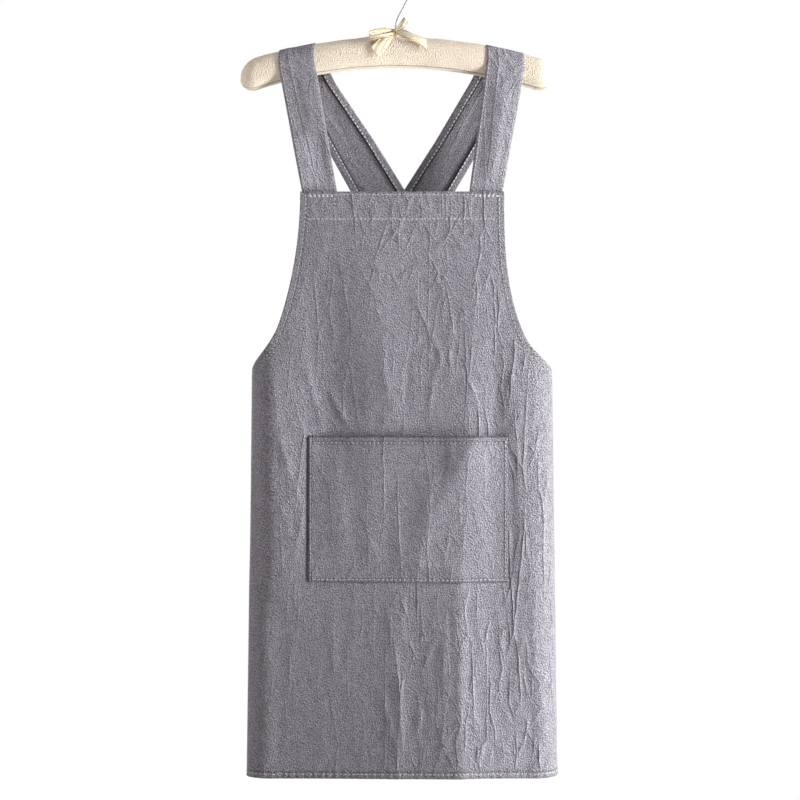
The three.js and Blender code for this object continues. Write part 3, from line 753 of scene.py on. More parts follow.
# half an ellipse's length, nearly: pi times the root of its half axes' mean square
def turnGirth(depth):
    return np.pi * np.hypot(body["turnReach"], depth) / np.sqrt(2.0)


flatHalf = body["sideHalf"] - body["turnReach"]
armholeFront = flatHalf + turnGirth(body["topDepth"]) / 2
armholeBack = flatHalf + turnGirth(body["topDepth"])
wingTip = armholeBack + flatHalf - body["wingOuter"]
wingEdge = armholeBack + flatHalf - body["wingInner"]


# two slopes that meet in a rounded crest
def leanAt(girth, drop):
    crest = np.interp(drop, bodyLean["drops"], bodyLean["crest"])
    bend = np.interp(drop, bodyLean["drops"], bodyLean["round"])
    left = (girth - bodyLean["left"]) / (crest - bodyLean["left"])
    right = 1.0 - (1.0 - bodyLean["rightShare"]) * (girth - crest) / (bodyLean["right"] - crest)
    roof = (left + right - np.hypot(left - right, bend)) / 2
    down = np.clip((drop - bodyLean["from"]) / (body["hem"] - bodyLean["from"]), 0.0, 1.0)
    rise = bodyLean["rise"] * down ** bodyLean["power"]
    return rise * np.where(girth > bodyLean["right"], bodyLean["rightShare"], np.maximum(roof, 0.0))


def sideHalfAt(drop):
    return np.interp(drop, (body["armholeFoot"], body["hem"]), (body["sideHalf"], body["hemHalf"]))


# flat front, half an ellipse round each side, flat back: the girth runs along that line, and the point
# is lifted along the line's outward normal
def bodyPoint(girth, drop, lift):
    side = np.where(girth < 0, -1.0, 1.0)
    depth = np.interp(drop, (body["armholeFoot"], body["hem"]), (body["topDepth"], body["hemDepth"]))
    straight = sideHalfAt(drop) - body["turnReach"]
    turn = turnGirth(depth)
    reach = np.abs(girth)
    angle = np.pi * np.clip((reach - straight) / turn, 0.0, 1.0)
    past = np.maximum(reach - straight - turn, 0.0)
    x = np.minimum(reach, straight) + body["turnReach"] * np.sin(angle) - past
    front = depth + leanAt(girth, drop) * (np.cos(angle) > 0)
    outX, outY = side * depth * np.sin(angle), -body["turnReach"] * np.cos(angle)
    length = np.hypot(outX, outY)
    return np.stack([body["middle"] + side * x + outX / length * lift,
                     -front * np.cos(angle) + outY / length * lift, -drop], axis=-1)


def outwardAt(girth, drop):
    return bodyPoint(girth, drop, 1.0) - bodyPoint(girth, drop, 0.0)


pocket = {
    "middle": 6.7, "top": 563.0, "foot": 740.0, "half": 121.5, "gape": 2.2, "seat": 0.97, "thickness": 0.8,
    "sideFlat": 16.0, "footFlat": 9.0, "seed": 21, "seam": 4.0, "mouthHem": 0.5, "gapShadowReach": 8.0,
    "darkGapShadow": 0.65, "paleGapShadow": 0.4, "pattern": 500.0, "creased": 0.5, "slanted": 0.35,
    "columns": 88, "rows": 64,
}


# 1 under the pocket, falling to 0 beside it
def underPocket(girth, drop):
    across = np.abs(girth - pocket["middle"]) - pocket["half"]
    down = np.maximum(pocket["top"] - drop, drop - pocket["foot"])
    return 1.0 - smooth(np.maximum(across, down), 0.0, body["besidePocket"])


# the main folds everywhere, the small creases only where no other layer lies on the cloth
def bodyRelief(girth, drop):
    bare = smooth(drop, *body["bareFrom"]) * (1.0 - underPocket(girth, drop))
    small = foldRise(girth, drop, bodyCreases) + crinkleRise(girth, drop, bodyCrinkles, body["seed"])
    wave = np.sin(girth * hemPucker["waves"] + np.sin(girth * hemPucker["wander"]))
    pucker = hemPucker["rise"] * wave * np.exp((drop - body["hem"]) / hemPucker["reach"])
    return foldRise(girth, drop, bodyFolds) + bare * small + pucker


# girth of the bib's edge: a half width, a power curve over the armhole and a steeper one at its foot
def bibEdge(side, down):
    spread, power, corner = body["leftArmhole"] if side < 0 else body["rightArmhole"]
    rest = armholeFront - body["bibHalf"] - spread
    return body["bibHalf"] + spread * down ** power + rest * down ** corner


# half a sine wave under the arm
def dipAt(girth):
    along = (np.abs(girth) - armholeFront) / (armholeBack - armholeFront)
    return body["armholeDip"] * np.sin(np.pi * np.clip(along, 0.0, 1.0))


# the hem rises a little where the front leans out
def hemAt(girth):
    return body["hem"] + body["hemBelow"] - body["hemRise"] * leanAt(girth, np.full_like(girth, body["hem"]))


# outer edge of a wing's tip at a share of the way up
def wingOuterAt(up):
    return mix(armholeBack, wingTip, 1.0 - (1.0 - up) ** body["wingCurve"])


# one grid from the hem up to the armholes, and on its top row three more: the bib and the two wings
def makeBody():
    front = np.linspace(-armholeFront, armholeFront, body["frontCells"] + 1)
    side = np.concatenate([np.linspace(armholeFront, armholeBack, body["dipCells"] + 1)[1:],
                           np.linspace(armholeBack, wingEdge, body["wingCells"] + 1)[1:]])
    columns = np.concatenate([-side[::-1], front, side])
    up = np.linspace(0.0, 1.0, body["lowCells"] + 1)[:, None]
    drop = mix(hemAt(columns)[None], body["armholeFoot"] + dipAt(columns)[None], up)
    girth = columns[None] * sideHalfAt(drop) / body["sideHalf"]
    numbers = gridNumbers(*girth.shape)
    girths, drops, faces = [girth.ravel()], [drop.ravel()], [gridFaces(numbers)]
    edges = [np.minimum(hemAt(columns)[None] - drop, wingEdge - np.abs(columns)[None]).ravel()]

    def grow(base, girth, drop, edge):
        count = sum(len(part) for part in girths)
        faces.append(gridFaces(np.concatenate([base[None], count + gridNumbers(*girth.shape)])))
        girths.append(girth.ravel())
        drops.append(np.broadcast_to(drop, girth.shape).ravel())
        edges.append(edge.ravel())

    first = body["wingCells"] + body["dipCells"]
    up = np.linspace(0.0, 1.0, body["bibCells"] + 1)[1:, None]
    left, right = -bibEdge(-1, 1.0 - up), bibEdge(1, 1.0 - up)
    bibGirth = mix(left, right, np.linspace(0.0, 1.0, body["frontCells"] + 1)[None])
    bibGap = np.minimum(np.minimum(bibGirth - left, right - bibGirth), bodyWear["topEdge"])
    bibDrop = mix(body["armholeFoot"], body["bibTop"], up)
    grow(numbers[-1, first:first + body["frontCells"] + 1], bibGirth, bibDrop, bibGap)
    up = np.linspace(0.0, 1.0, body["wingRows"] + 1)[1:, None]
    wing = mix(wingOuterAt(up), wingEdge, np.linspace(0.0, 1.0, body["wingCells"] + 1)[None])
    wingGap = np.minimum(wingEdge - wing, wing - wingOuterAt(up))
    wingDrop = mix(body["armholeFoot"], body["wingTop"], up)
    grow(numbers[-1, -body["wingCells"] - 1:], wing, wingDrop, wingGap)
    grow(numbers[-1, :body["wingCells"] + 1], -wing[:, ::-1], wingDrop, wingGap[:, ::-1])

    girth, drop, edge = np.concatenate(girths), np.concatenate(drops), np.concatenate(edges)
    points = bodyPoint(girth, drop, bodyRelief(girth, drop))
    faces = np.concatenate(faces)
    flat = np.stack([girth, -drop], axis=-1)
    # the right third, the skirt under the pocket and the bib's top are the most creased
    skirt = smooth(drop, *bodyWear["skirt"]) * smooth(girth, *bodyWear["skirtSide"])
    most = np.maximum(smooth(girth, *bodyWear["right"]), skirt)
    most = np.maximum(most, 1.0 - smooth(drop, *bodyWear["top"]))
    creased = mix(bodyWear["plain"], 1.0, most)
    creased = np.where(np.abs(girth) > bodyWear["backFrom"], bodyWear["back"], creased)
    slanted = np.exp(-((girth - bodyWear["slantMiddle"]) / bodyWear["slantReach"]) ** 2)
    slanted = slanted * (1.0 - smooth(drop, *bodyWear["slantDrops"]))
    slanted = np.maximum(slanted, bodyWear["slantPlain"] + bodyWear["slantSkirt"] * skirt)
    free = smooth(edge, *bodyWear["stiffEdge"])  # a turned edge is too stiff to crease
    piece = addPiece("apron_body", points, faces, "body", "apron_cloth", flat, edgeDistance=edge,
                     creased=free * creased, slanted=free * slanted)
    giveWall(piece, body["thickness"])
    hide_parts("body")
    # a face's flat area is half the cross product of its diagonals
    one, two = flat[faces[:, 2]] - flat[faces[:, 0]], flat[faces[:, 3]] - flat[faces[:, 1]]
    cutArea = 0.5 * np.abs(one[:, 0] * two[:, 1] - one[:, 1] * two[:, 0]).sum() * mm * mm
    return piece, cutArea


bodyPiece, bodyArea = makeBody()
print("body:", len(bodyPiece.data.polygons), "cells, cut area", round(bodyArea, 4))


# pocket: a patch over the body that gapes at its mouth, with creases of its own, in the body's columns
pocketCreases = [
    ((500, 600, 670, 745), (86, 72, 32, 20), 4.8, 34, 30, 5, 30),
    ((563, 620, 680, 745), (84, 82, 76, 68), 1.3, 24, 12, 0, 20),
    ((566, 650, 735), (-30, -34, -40), 1.4, 18, 12, 0, 40),
    ((570, 650, 730), (-84, -78, -70), 1.2, 16, 10, 0, 40),
    ((640, 735), (-8, -2), 0.9, 9, 7, 2, 20),
    ((600, 680), (36, 26), 1.0, 9, 7, 2, 20),
    ((690, 742), (46, 58), 0.9, 7, 5, 2, 12),
]
pocketCrinkles = [
    (-110, 125, 570, 735, 70, 0.2, 22, 0.6),
    (40, 125, 570, 735, 30, 0.22, 22, 0.6),
]


# the gape is full where the patch is free of its seams, and its own creases fade towards them
def pocketLift(girth, drop):
    share = (girth - pocket["middle"]) / pocket["half"]
    up = (pocket["foot"] - drop) / (pocket["foot"] - pocket["top"])
    free = np.clip(1.0 - share ** 4, 0.0, 1.0) * (1.0 - (1.0 - np.clip(up, 0.0, 1.0)) ** 3)
    fromSide = pocket["half"] * (1.0 - np.abs(share))
    inside = np.clip(fromSide / pocket["sideFlat"], 0.0, 1.0) * np.clip(up * pocket["footFlat"], 0.0, 1.0)
    own = foldRise(girth, drop, pocketCreases) + crinkleRise(girth, drop, pocketCrinkles, pocket["seed"])
    seat = foldRise(girth, drop, bodyFolds) + pocket["seat"]
    return seat + pocket["gape"] * free + own * smooth(inside, 0.0, 1.0)


def makePocket():
    left, right = pocket["middle"] - pocket["half"], pocket["middle"] + pocket["half"]
    girth, drop = np.meshgrid(np.linspace(left, right, pocket["columns"] + 1),
                              np.linspace(pocket["foot"], pocket["top"], pocket["rows"] + 1))
    points = bodyPoint(girth, drop, pocketLift(girth, drop)).reshape(-1, 3)
    faces = gridFaces(gridNumbers(*girth.shape))
    # distance from the border plus a seam's width, slower below the mouth, where the hem is deeper
    fromLeft, fromRight = girth - left, right - girth
    fromTop, fromFoot = drop - pocket["top"], pocket["foot"] - drop
    sewn = np.minimum(np.minimum(fromLeft, fromRight), fromFoot)
    edge = pocket["seam"] + np.minimum(sewn, pocket["mouthHem"] * fromTop)
    # painted shadow of the gap along the border, darkest at the left and at the mouth
    dark = 1.0 - smooth(np.minimum(fromLeft, fromTop), 0.0, pocket["gapShadowReach"])
    pale = 1.0 - smooth(np.minimum(fromRight, fromFoot), 0.0, pocket["gapShadowReach"])
    gapShadow = np.maximum(pocket["darkGapShadow"] * dark, pocket["paleGapShadow"] * pale)
    flat = np.stack([girth.ravel() + pocket["pattern"], -drop.ravel()], axis=-1)
    piece = addPiece("front_pocket", points, faces, "body", "apron_cloth", flat, edgeDistance=edge.ravel(),
                     creased=pocket["creased"], slanted=pocket["slanted"], hemShade=gapShadow.ravel())
    giveWall(piece, pocket["thickness"])
    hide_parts("pocket")
    return piece


pocketPiece = makePocket()
print("pocket:", len(pocketPiece.data.polygons), "cells")


# facing behind the bib's top, one layer in, and one more where the strap ends lie between
facing = {
    "half": 122.0, "foot": 301.0, "top": 268.0, "layer": 1.5, "strapLayer": 2.3, "strapFrom": (58.0, 74.0),
    "thickness": 0.9, "footSeam": 5.0, "sideSeam": 4.0, "pattern": -600.0, "creased": 0.4,
    "columns": 80, "rows": 12,
}


def makeFacing():
    girth, drop = np.meshgrid(np.linspace(-facing["half"], facing["half"], facing["columns"] + 1),
                              np.linspace(facing["foot"], facing["top"], facing["rows"] + 1))
    lift = -facing["layer"] - smooth(np.abs(girth), *facing["strapFrom"]) * facing["strapLayer"]
    points = bodyPoint(girth, drop, foldRise(girth, drop, bodyFolds) + lift).reshape(-1, 3)
    faces = gridFaces(gridNumbers(*girth.shape))
    edge = np.minimum(facing["foot"] - drop + facing["footSeam"],
                      facing["half"] - np.abs(girth) + facing["sideSeam"])
    flat = np.stack([girth.ravel() + facing["pattern"], -drop.ravel()], axis=-1)
    piece = addPiece("bib_top_facing", points, faces, "body", "apron_cloth", flat, edgeDistance=edge.ravel(),
                     creased=facing["creased"])
    giveWall(piece, facing["thickness"])
    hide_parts("bib_facing")


makeFacing()


# hanger bar, with places round it in degrees: 0 in front, 90 on top, 180 behind
bar = {
    "drop": 94.0, "arch": 0.00088, "half": 190.5, "halfHeight": 18.6, "endHeight": 20.0, "halfDepth": 13.0,
    "square": 2.6, "columns": 96, "rows": 220, "endRows": 0.8, "pipingAt": -55.0, "pipingRise": 0.9,
    "pipingReach": 3.2, "seamBeside": 6.0, "mmPerDegree": 0.28, "pleatRise": 0.22,
    "crestAt": -16.0, "crestReach": 28.0, "crestDegrees": 42.0, "crestRise": 2.6,
    # shades paint the cover darker right of its middle and most at its right end: painted shade where the
    # key lamp lights the bar most
    "paintedShadeAt": (-10.0, 50.0, 120.0, 190.0), "shades": (0.0, 0.1, 0.1, 0.3), "endGap": 9.0,
}
# length of a wave, its start, how much and how slowly it wanders, place and reach in degrees
barPleats = [
    (7.3, 0.0, 1.4, 31.0, -40.0, 50.0),
    (5.1, 2.0, 1.0, 23.0, 70.0, 40.0),
]


# superellipse round the bar at x
def barPoint(x, degrees, lift, shrink):
    high = mix(bar["halfHeight"], bar["endHeight"], (x / bar["half"]) ** 2) * shrink + lift
    deep = bar["halfDepth"] * shrink + lift
    cos, sin = np.cos(np.radians(degrees)), np.sin(np.radians(degrees))
    power = 2.0 / bar["square"]
    y = -deep * np.sign(cos) * np.abs(cos) ** power
    z = high * np.sign(sin) * np.abs(sin) ** power - bar["drop"] - bar["arch"] * x * x
    return np.stack(np.broadcast_arrays(x, y, z), axis=-1)


def bell(off, reach):
    return np.exp(-(off / reach) ** 2)


def makeBar():
    rows = np.arange(1, bar["rows"])[:, None]
    along = -np.cos(np.pi * rows / bar["rows"])  # closer together at the rounded ends
    x = bar["half"] * np.sign(along) * np.abs(along) ** bar["endRows"]
    degrees = (np.arange(bar["columns"]) * 360.0 / bar["columns"])[None]
    into = np.clip((np.abs(x) - bar["half"] + bar["endHeight"]) / bar["endHeight"], 0.0, 1.0)
    shrink = np.sqrt(1.0 - into ** 2)
    turned = (degrees + 180.0) % 360.0 - 180.0
    lift = bar["pipingRise"] * bell(turned - bar["pipingAt"], bar["pipingReach"])
    for length, start, wander, slow, place, reach in barPleats:
        wave = np.sin(x / length + start + wander * np.sin(x / slow))
        lift = lift + bar["pleatRise"] * wave * bell(turned - place, reach)
    crest = bell(x - bar["crestAt"], bar["crestReach"]) * bell(turned - 90.0, bar["crestDegrees"])
    lift = lift + bar["crestRise"] * crest
    ends = barPoint(np.array([-bar["half"], bar["half"]]), 0.0, 0.0, np.zeros(2))
    points = np.concatenate([barPoint(x, degrees, lift * shrink, shrink).reshape(-1, 3), ends])
    numbers = gridNumbers(x.size, degrees.size)
    caps = [fanFaces(numbers[0], numbers.size), fanFaces(numbers[-1], numbers.size + 1, turned=True)]
    faces = gridFaces(closeRows(numbers))[:, ::-1].tolist() + np.concatenate(caps)[:, ::-1].tolist()
    # the flat pattern starts at the sewn line beside the piping
    past = turned - bar["pipingAt"] + bar["seamBeside"]
    flat = np.stack(np.broadcast_arrays(x, past % 360.0 * bar["mmPerDegree"]), axis=-1).reshape(-1, 2)
    flat = np.concatenate([flat, ends[:, :1] * [1.0, 0.0]])
    edge = np.broadcast_to(np.abs(past) * bar["mmPerDegree"], numbers.shape).ravel()
    # painted shade along the bar, darker towards its right end
    piece = addPiece("padded_bar", points, faces, "cover", "hanger_cover", flat,
                     edgeDistance=np.append(edge, [bar["endGap"], bar["endGap"]]),
                     shade=np.interp(points[:, 0], bar["paintedShadeAt"], bar["shades"]))
    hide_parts("hanger_bar")
    return piece


barPiece = makeBar()
print("hanger bar:", len(barPiece.data.polygons), "cells")


# wire hook: a circle carried along the stem and the bend, closed by rounded ends
hook = {
    "wire": 3.2, "radius": 19.0, "stemFoot": 90.1, "stemTop": 62.0, "start": -50.0, "tip": 205.0,
    "sides": 20, "stemSteps": 10, "leadSteps": 14, "leadPower": 0.3, "bendSteps": 64, "tipSteps": 5,
    "tipEnd": 0.02, "softer": 6,
}


def makeHook():
    radius = hook["wire"] / 2
    stem = np.linspace(-hook["stemFoot"], -hook["stemTop"], hook["stemSteps"])
    angle = np.radians(np.linspace(hook["start"], hook["tip"], hook["bendSteps"]))
    bendX, bendZ = hook["radius"] * np.cos(angle), radius - hook["radius"] + hook["radius"] * np.sin(angle)
    # the lead-in is a smooth step from the upright stem to the start of the bend
    share = np.linspace(0.0, 1.0, hook["leadSteps"])[1:-1]
    leadX = bendX[0] * smooth(share, 0.0, 1.0) * share ** hook["leadPower"]
    leadZ = mix(stem[-1], bendZ[0], share)
    path = [np.concatenate([0.0 * stem, leadX, bendX]), np.concatenate([stem, leadZ, bendZ])]
    path = soften(np.stack(path, axis=-1), hook["softer"])
    ahead = unit(np.gradient(path, axis=0))
    # the tip is half a ball
    bow = np.linspace(0.0, np.pi / 2, hook["tipSteps"] + 1)[1:]
    tipPath = path[-1] + ahead[-1] * radius * np.sin(bow)[:, None]
    size = np.concatenate([np.full(len(path), radius), radius * np.cos(bow)[:-1], [hook["tipEnd"]]])[:, None]
    path = np.concatenate([path, tipPath])
    ahead = np.concatenate([ahead, np.repeat(ahead[-1:], hook["tipSteps"], axis=0)])
    turn = (np.arange(hook["sides"]) * 2 * np.pi / hook["sides"])[None]
    x = path[:, :1] - ahead[:, 1:] * size * np.cos(turn)
    y = size * np.sin(turn)
    z = path[:, 1:] + ahead[:, :1] * size * np.cos(turn)
    numbers = gridNumbers(*x.shape)
    faces = gridFaces(closeRows(numbers))[:, ::-1].tolist()
    faces += [numbers[0].tolist(), numbers[-1][::-1].tolist()]
    piece = addPiece("wire_hook", np.stack([x, y, z], axis=-1).reshape(-1, 3), faces, "wire", "hook_wire")
    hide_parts("hanger_hook")


makeHook()


# straps: a hemmed profile carried from behind the bib, over the bar and down to the opposite wing; insets
# and depths run from a hem's raw side round its fold, and stitches are an inset, a height and a shade
strapHem = {
    "width": 10.0, "thickness": 0.7, "lift": 1.1, "step": 3.2, "softer": 13, "faceCells": 30, "barSteps": 25,
    "inset": (10.0, 8.0, 4.5, 1.2, 0.3, 0.0, 0.3), "depth": (-1.9, -1.5, -1.25, -1.1, -0.85, -0.45, -0.1),
    # shadeRamp is the length over which the strap turns to its painted shade behind the bar; faceShade,
    # below 0, paints the face a little lighter
    "fold": 1.2, "freeFrom": (31.0, 50.0), "freeTo": (130.0, 90.0), "shadeRamp": 30.0, "faceShade": -0.06,
    "creased": 0.28, "slanted": 0.35, "pattern": 900.0, "stitches": ((2.8, 0.42, 0.4), (8.4, -2.0, 0.0)),
    "sewnFrom": 12, "sewnTo": -14,
}
# left, right, top, foot short of the end, count, height, length, lean
strapCrinkles = (-22, 22, 50, 110, 50, 0.25, 16, 0.8)
# bar: x and half width; front and back: x, half width, drop and y; folds have the body's columns; the wrong
# side shows past the length top
# each strap's shade and hemShade paint its wrong side: shade is painted shade from the front straps and bar,
# hemShade a painted shadow line along each hem
straps = {
    "strap_left": {
        "bar": (-121.5, 21.6), "skew": 11.0,
        "front": [(-92.0, 21.0, 298.0, -16.0), (-93.0, 21.0, 266.0, -16.0)],
        "back": [(-100.0, 25.5, 130.0, 14.8), (-58.0, 31.4, 201.0, 14.8), (-23.5, 33.5, 260.0, 14.6),
                 (44.0, 34.0, 370.0, 14.6), (61.0, 33.0, 401.0, 16.0), (68.0, 27.0, 421.0, 16.0)],
        "folds": [((55, 130, 205), (-8, -9, -3), -1.0, 9, 8, 0, 40),
                  ((60, 200), (-17, -14), 0.5, 5, 6, 0, 40),
                  ((12, 50, 116), (-20, -19, -18), 6.5, 9, 15, 0, 26),
                  ((40, 116), (8, 8), -1.0, 9, 8, 0, 28), ((90, 210), (8, 6), 0.5, 8, 8, 0, 40),
                  ((280, 420), (4, -6), 0.9, 9, 7, 2, 40)],
        "seed": 31, "top": 240.0, "shade": 0.06, "hemShade": 0.9,
    },
    "strap_right": {
        "bar": (133.8, 22.9), "skew": -8.0,
        "front": [(108.0, 20.0, 298.0, -16.0), (109.5, 20.0, 266.0, -16.0)],
        "back": [(117.5, 24.0, 125.0, 15.0), (78.5, 30.0, 201.0, 16.4), (42.0, 31.5, 260.0, 17.6),
                 (-24.0, 32.5, 370.0, 17.6), (-42.0, 33.0, 401.0, 16.0), (-50.0, 27.0, 421.0, 16.0)],
        "folds": [((140, 205), (-10, 20), 0.7, 7, 6, 2, 20), ((34, 180), (3, 1), 3.2, 12, 11, 0, 34),
                  ((130, 210), (-12, -10), 0.6, 7, 7, 0, 30), ((280, 420), (-4, 6), 0.9, 9, 7, 2, 40)],
        "seed": 43, "top": 240.0, "shade": 0.3, "hemShade": 0.6,
    },
}


# a moving average with rounded weights; the line goes on straight past both ends
def averaged(line, width):
    weights = np.hanning(width + 2)[1:-1]
    weights /= weights.sum()
    half = width // 2
    longer = np.concatenate([2 * line[0] - line[half:0:-1], line, 2 * line[-1] - line[-2:-half - 2:-1]])
    return np.stack([np.convolve(longer[:, k], weights, "valid") for k in range(3)], axis=-1)


# both edges of a strap and the length along its middle, at even steps, softened where the sections meet
def strapCourse(strap):
    barX, barHalf = strap["bar"]
    degrees = np.linspace(0.0, 180.0, strapHem["barSteps"])
    barX = barX + strap["skew"] * (degrees / 180.0) ** 3  # turns towards the crossing behind the bar
    edges = []
    for side in (-1, 1):
        ends = [np.stack([x + side * half, y, -drop], axis=-1)
                for x, half, drop, y in (np.transpose(strap["front"]), np.transpose(strap["back"]))]
        over = barPoint(barX + side * barHalf, degrees, strapHem["lift"], 1.0)
        edges.append(np.concatenate([ends[0], over, ends[1]]))
    reach = reachAlong((edges[0] + edges[1]) / 2)
    even = np.linspace(0.0, reach[-1], int(reach[-1]) + 1)
    left, right = [averaged(rowsAt(even, reach, edge), strapHem["softer"]) for edge in edges]
    keep = np.linspace(0, len(even) - 1, int(reach[-1] / strapHem["step"]) + 1).round().astype(int)
    return left[keep], right[keep], even[keep]


def makeStrap(name, strap):
    left, right, along = strapCourse(strap)
    half = np.linalg.norm(right - left, axis=1)[:, None] / 2
    # profile from one hem's raw side round the fold, over the face and back under the other hem
    share = np.linspace(-1.0, 1.0, strapHem["faceCells"] + 1)[1:-1]
    inset, depth = np.array(strapHem["inset"]), np.array(strapHem["depth"])
    hemAcross, faceAcross = half - inset[None], share[None] * (half - strapHem["fold"])
    across = np.concatenate([-hemAcross, faceAcross, hemAcross[:, ::-1]], axis=1)
    under = np.concatenate([depth, 0.0 * share, depth[::-1]])[None]
    middle = (left + right) / 2
    sideways = (right - left) / (2 * half)
    outward = unit(np.cross(sideways, np.gradient(middle, axis=0)))
    length = np.broadcast_to(along[:, None], across.shape)
    end = along[-1]
    sewnOn = smooth(along, *np.subtract(end, strapHem["freeTo"]))
    free = smooth(along, *strapHem["freeFrom"]) * (1.0 - sewnOn)
    patch = strapCrinkles[:3] + (end - strapCrinkles[3],) + strapCrinkles[4:]
    own = foldRise(across, length, strap["folds"]) + crinkleRise(across, length, [patch], strap["seed"])
    lift = under + own * free[:, None]
    points = middle[:, None] + sideways[:, None] * across[..., None] + outward[:, None] * lift[..., None]
    faces = gridFaces(gridNumbers(*across.shape))
    flat = np.stack([across + strapHem["pattern"], length], axis=-1).reshape(-1, 2)
    # the wrong side shows behind the bar: painted darker there for the shade it lies in, with a painted
    # shadow line along the hems; the face before it is painted a little lighter
    behind = np.repeat(smooth(along, strap["top"], strap["top"] + strapHem["shadeRamp"]), across.shape[1])
    piece = addPiece(name + "_band", points.reshape(-1, 3), faces, "strap", "apron_cloth", flat,
                     edgeDistance=(half - np.abs(across)).ravel(), creased=strapHem["creased"],
                     slanted=strapHem["slanted"], shade=mix(strapHem["faceShade"], strap["shade"], behind),
                     hemShade=strap["hemShade"] * behind)
    giveWall(piece, strapHem["thickness"])
    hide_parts(name)
    lines = []
    sewn = slice(strapHem["sewnFrom"], strapHem["sewnTo"])
    # sewn near the edge on the face, near the hem's inner side on the wrong side
    for side in (-1, 1):
        for seamInset, height, shade in strapHem["stitches"]:
            row = (half[:, 0] - seamInset) * side
            rise = foldRise(row, along, strap["folds"]) * free + height
            path = middle + sideways * row[:, None] + outward * rise[:, None]
            lines.append((path[sewn], outward[sewn] * np.sign(height), shade))
    stitches = addStitches(name + "_stitches", lines)
    return piece


for name, strap in straps.items():
    strapPiece = makeStrap(name, strap)
    print(name, len(strapPiece.data.polygons), "cells")


# sewn lines and turned hems of the body; softer is how often an armhole's line is evened out
hemTurn = {"width": 10.0, "armholeWidth": 8.5, "edge": 0.6, "depth": 1.1, "thickness": 0.6,
           "pattern": -1200.0, "patternStep": -40.0, "creased": 0.4, "softer": 10, "backEnd": 4.0}
# each row has an inset or a drop, and a shade; feet are the strap feet's left and right sides
bodySewing = {
    "hem": (5.4, 0.36), "armhole": (6.5, 0.38), "back": (8.5, 0.3), "facing": ((269.5, 0.3), (299.5, 0.2)),
    "facingHalf": 118.0, "feet": ((-117.0, -82.0), (84.0, 118.0)), "feetTops": (270.9, 272.0),
    "feetTopShade": 0.15, "feetDrops": (270.5, 298.5), "feetShade": 0.3,
}
sewingSteps = {"hem": 500, "front": 200, "dip": 40, "wing": 80, "back": 300, "facing": 160, "footWide": 40,
               "footHigh": 30, "pocketSide": 120, "pocketWide": 160}


def sewnLine(girth, drop, shade):
    path = bodyPoint(girth, drop, bodyRelief(girth, drop) + stitch["lift"])
    return path, outwardAt(girth, drop), shade


# the body's finished edges as girths and drops, moved inwards by an inset
def hemLine(inset):
    girth = np.linspace(-wingEdge + inset, wingEdge - inset, sewingSteps["hem"])
    return girth * body["hemHalf"] / body["sideHalf"], hemAt(girth) - inset


# a line moved to its side by an inset, square to its slope
def movedIn(line, inset):
    slope = unit(np.gradient(line, axis=0))
    return line + inset * np.stack([-slope[:, 1], slope[:, 0]], axis=-1)


def armholeLine(side, inset):
    down = np.linspace(0.0, 1.0, sewingSteps["front"])
    front = np.stack([bibEdge(side, down), mix(body["bibTop"], body["armholeFoot"], down)], axis=-1)
    dip = np.linspace(armholeFront, armholeBack, sewingSteps["dip"])[1:-1]
    under = np.stack([dip, body["armholeFoot"] + dipAt(dip) + inset], axis=-1)
    up = np.linspace(0.0, 1.0, sewingSteps["wing"])
    outer = np.stack([wingOuterAt(up), mix(body["armholeFoot"], body["wingTop"], up)], axis=-1)
    line = np.concatenate([movedIn(front, inset), under, movedIn(outer, inset)])
    line = soften(line, hemTurn["softer"])
    return side * line[:, 0], line[:, 1]


def backEdgeLine(side, inset):
    top, foot = body["wingTop"] + hemTurn["backEnd"], body["hem"] - hemTurn["backEnd"]
    drop = np.linspace(top, foot, sewingSteps["back"])
    scale = np.where(drop > body["armholeFoot"], sideHalfAt(drop) / body["sideHalf"], 1.0)
    return side * (wingEdge * scale - inset), drop


def makeBodyStitches():
    def rowOf(edgeLine, row, *side):
        inset, shade = bodySewing[row]
        return sewnLine(*edgeLine(*side, inset), shade)

    lines = [rowOf(hemLine, "hem")]
    for side in (-1, 1):
        lines.append(rowOf(armholeLine, "armhole", side))
        lines.append(rowOf(backEdgeLine, "back", side))
    wide = np.linspace(-bodySewing["facingHalf"], bodySewing["facingHalf"], sewingSteps["facing"])
    for drop, shade in bodySewing["facing"]:
        lines.append(sewnLine(wide, np.full_like(wide, drop), shade))
    # a box of stitches, gone over twice along its top, holds each strap's foot
    high = np.linspace(*bodySewing["feetDrops"], sewingSteps["footHigh"])
    for left, right in bodySewing["feet"]:
        wide = np.linspace(left, right, sewingSteps["footWide"])
        for drop in bodySewing["feetTops"]:
            lines.append(sewnLine(wide, np.full_like(wide, drop), bodySewing["feetTopShade"]))
        for girth in (left, right):
            lines.append(sewnLine(np.full_like(high, girth), high, bodySewing["feetShade"]))
    return addStitches("body_stitches", lines)


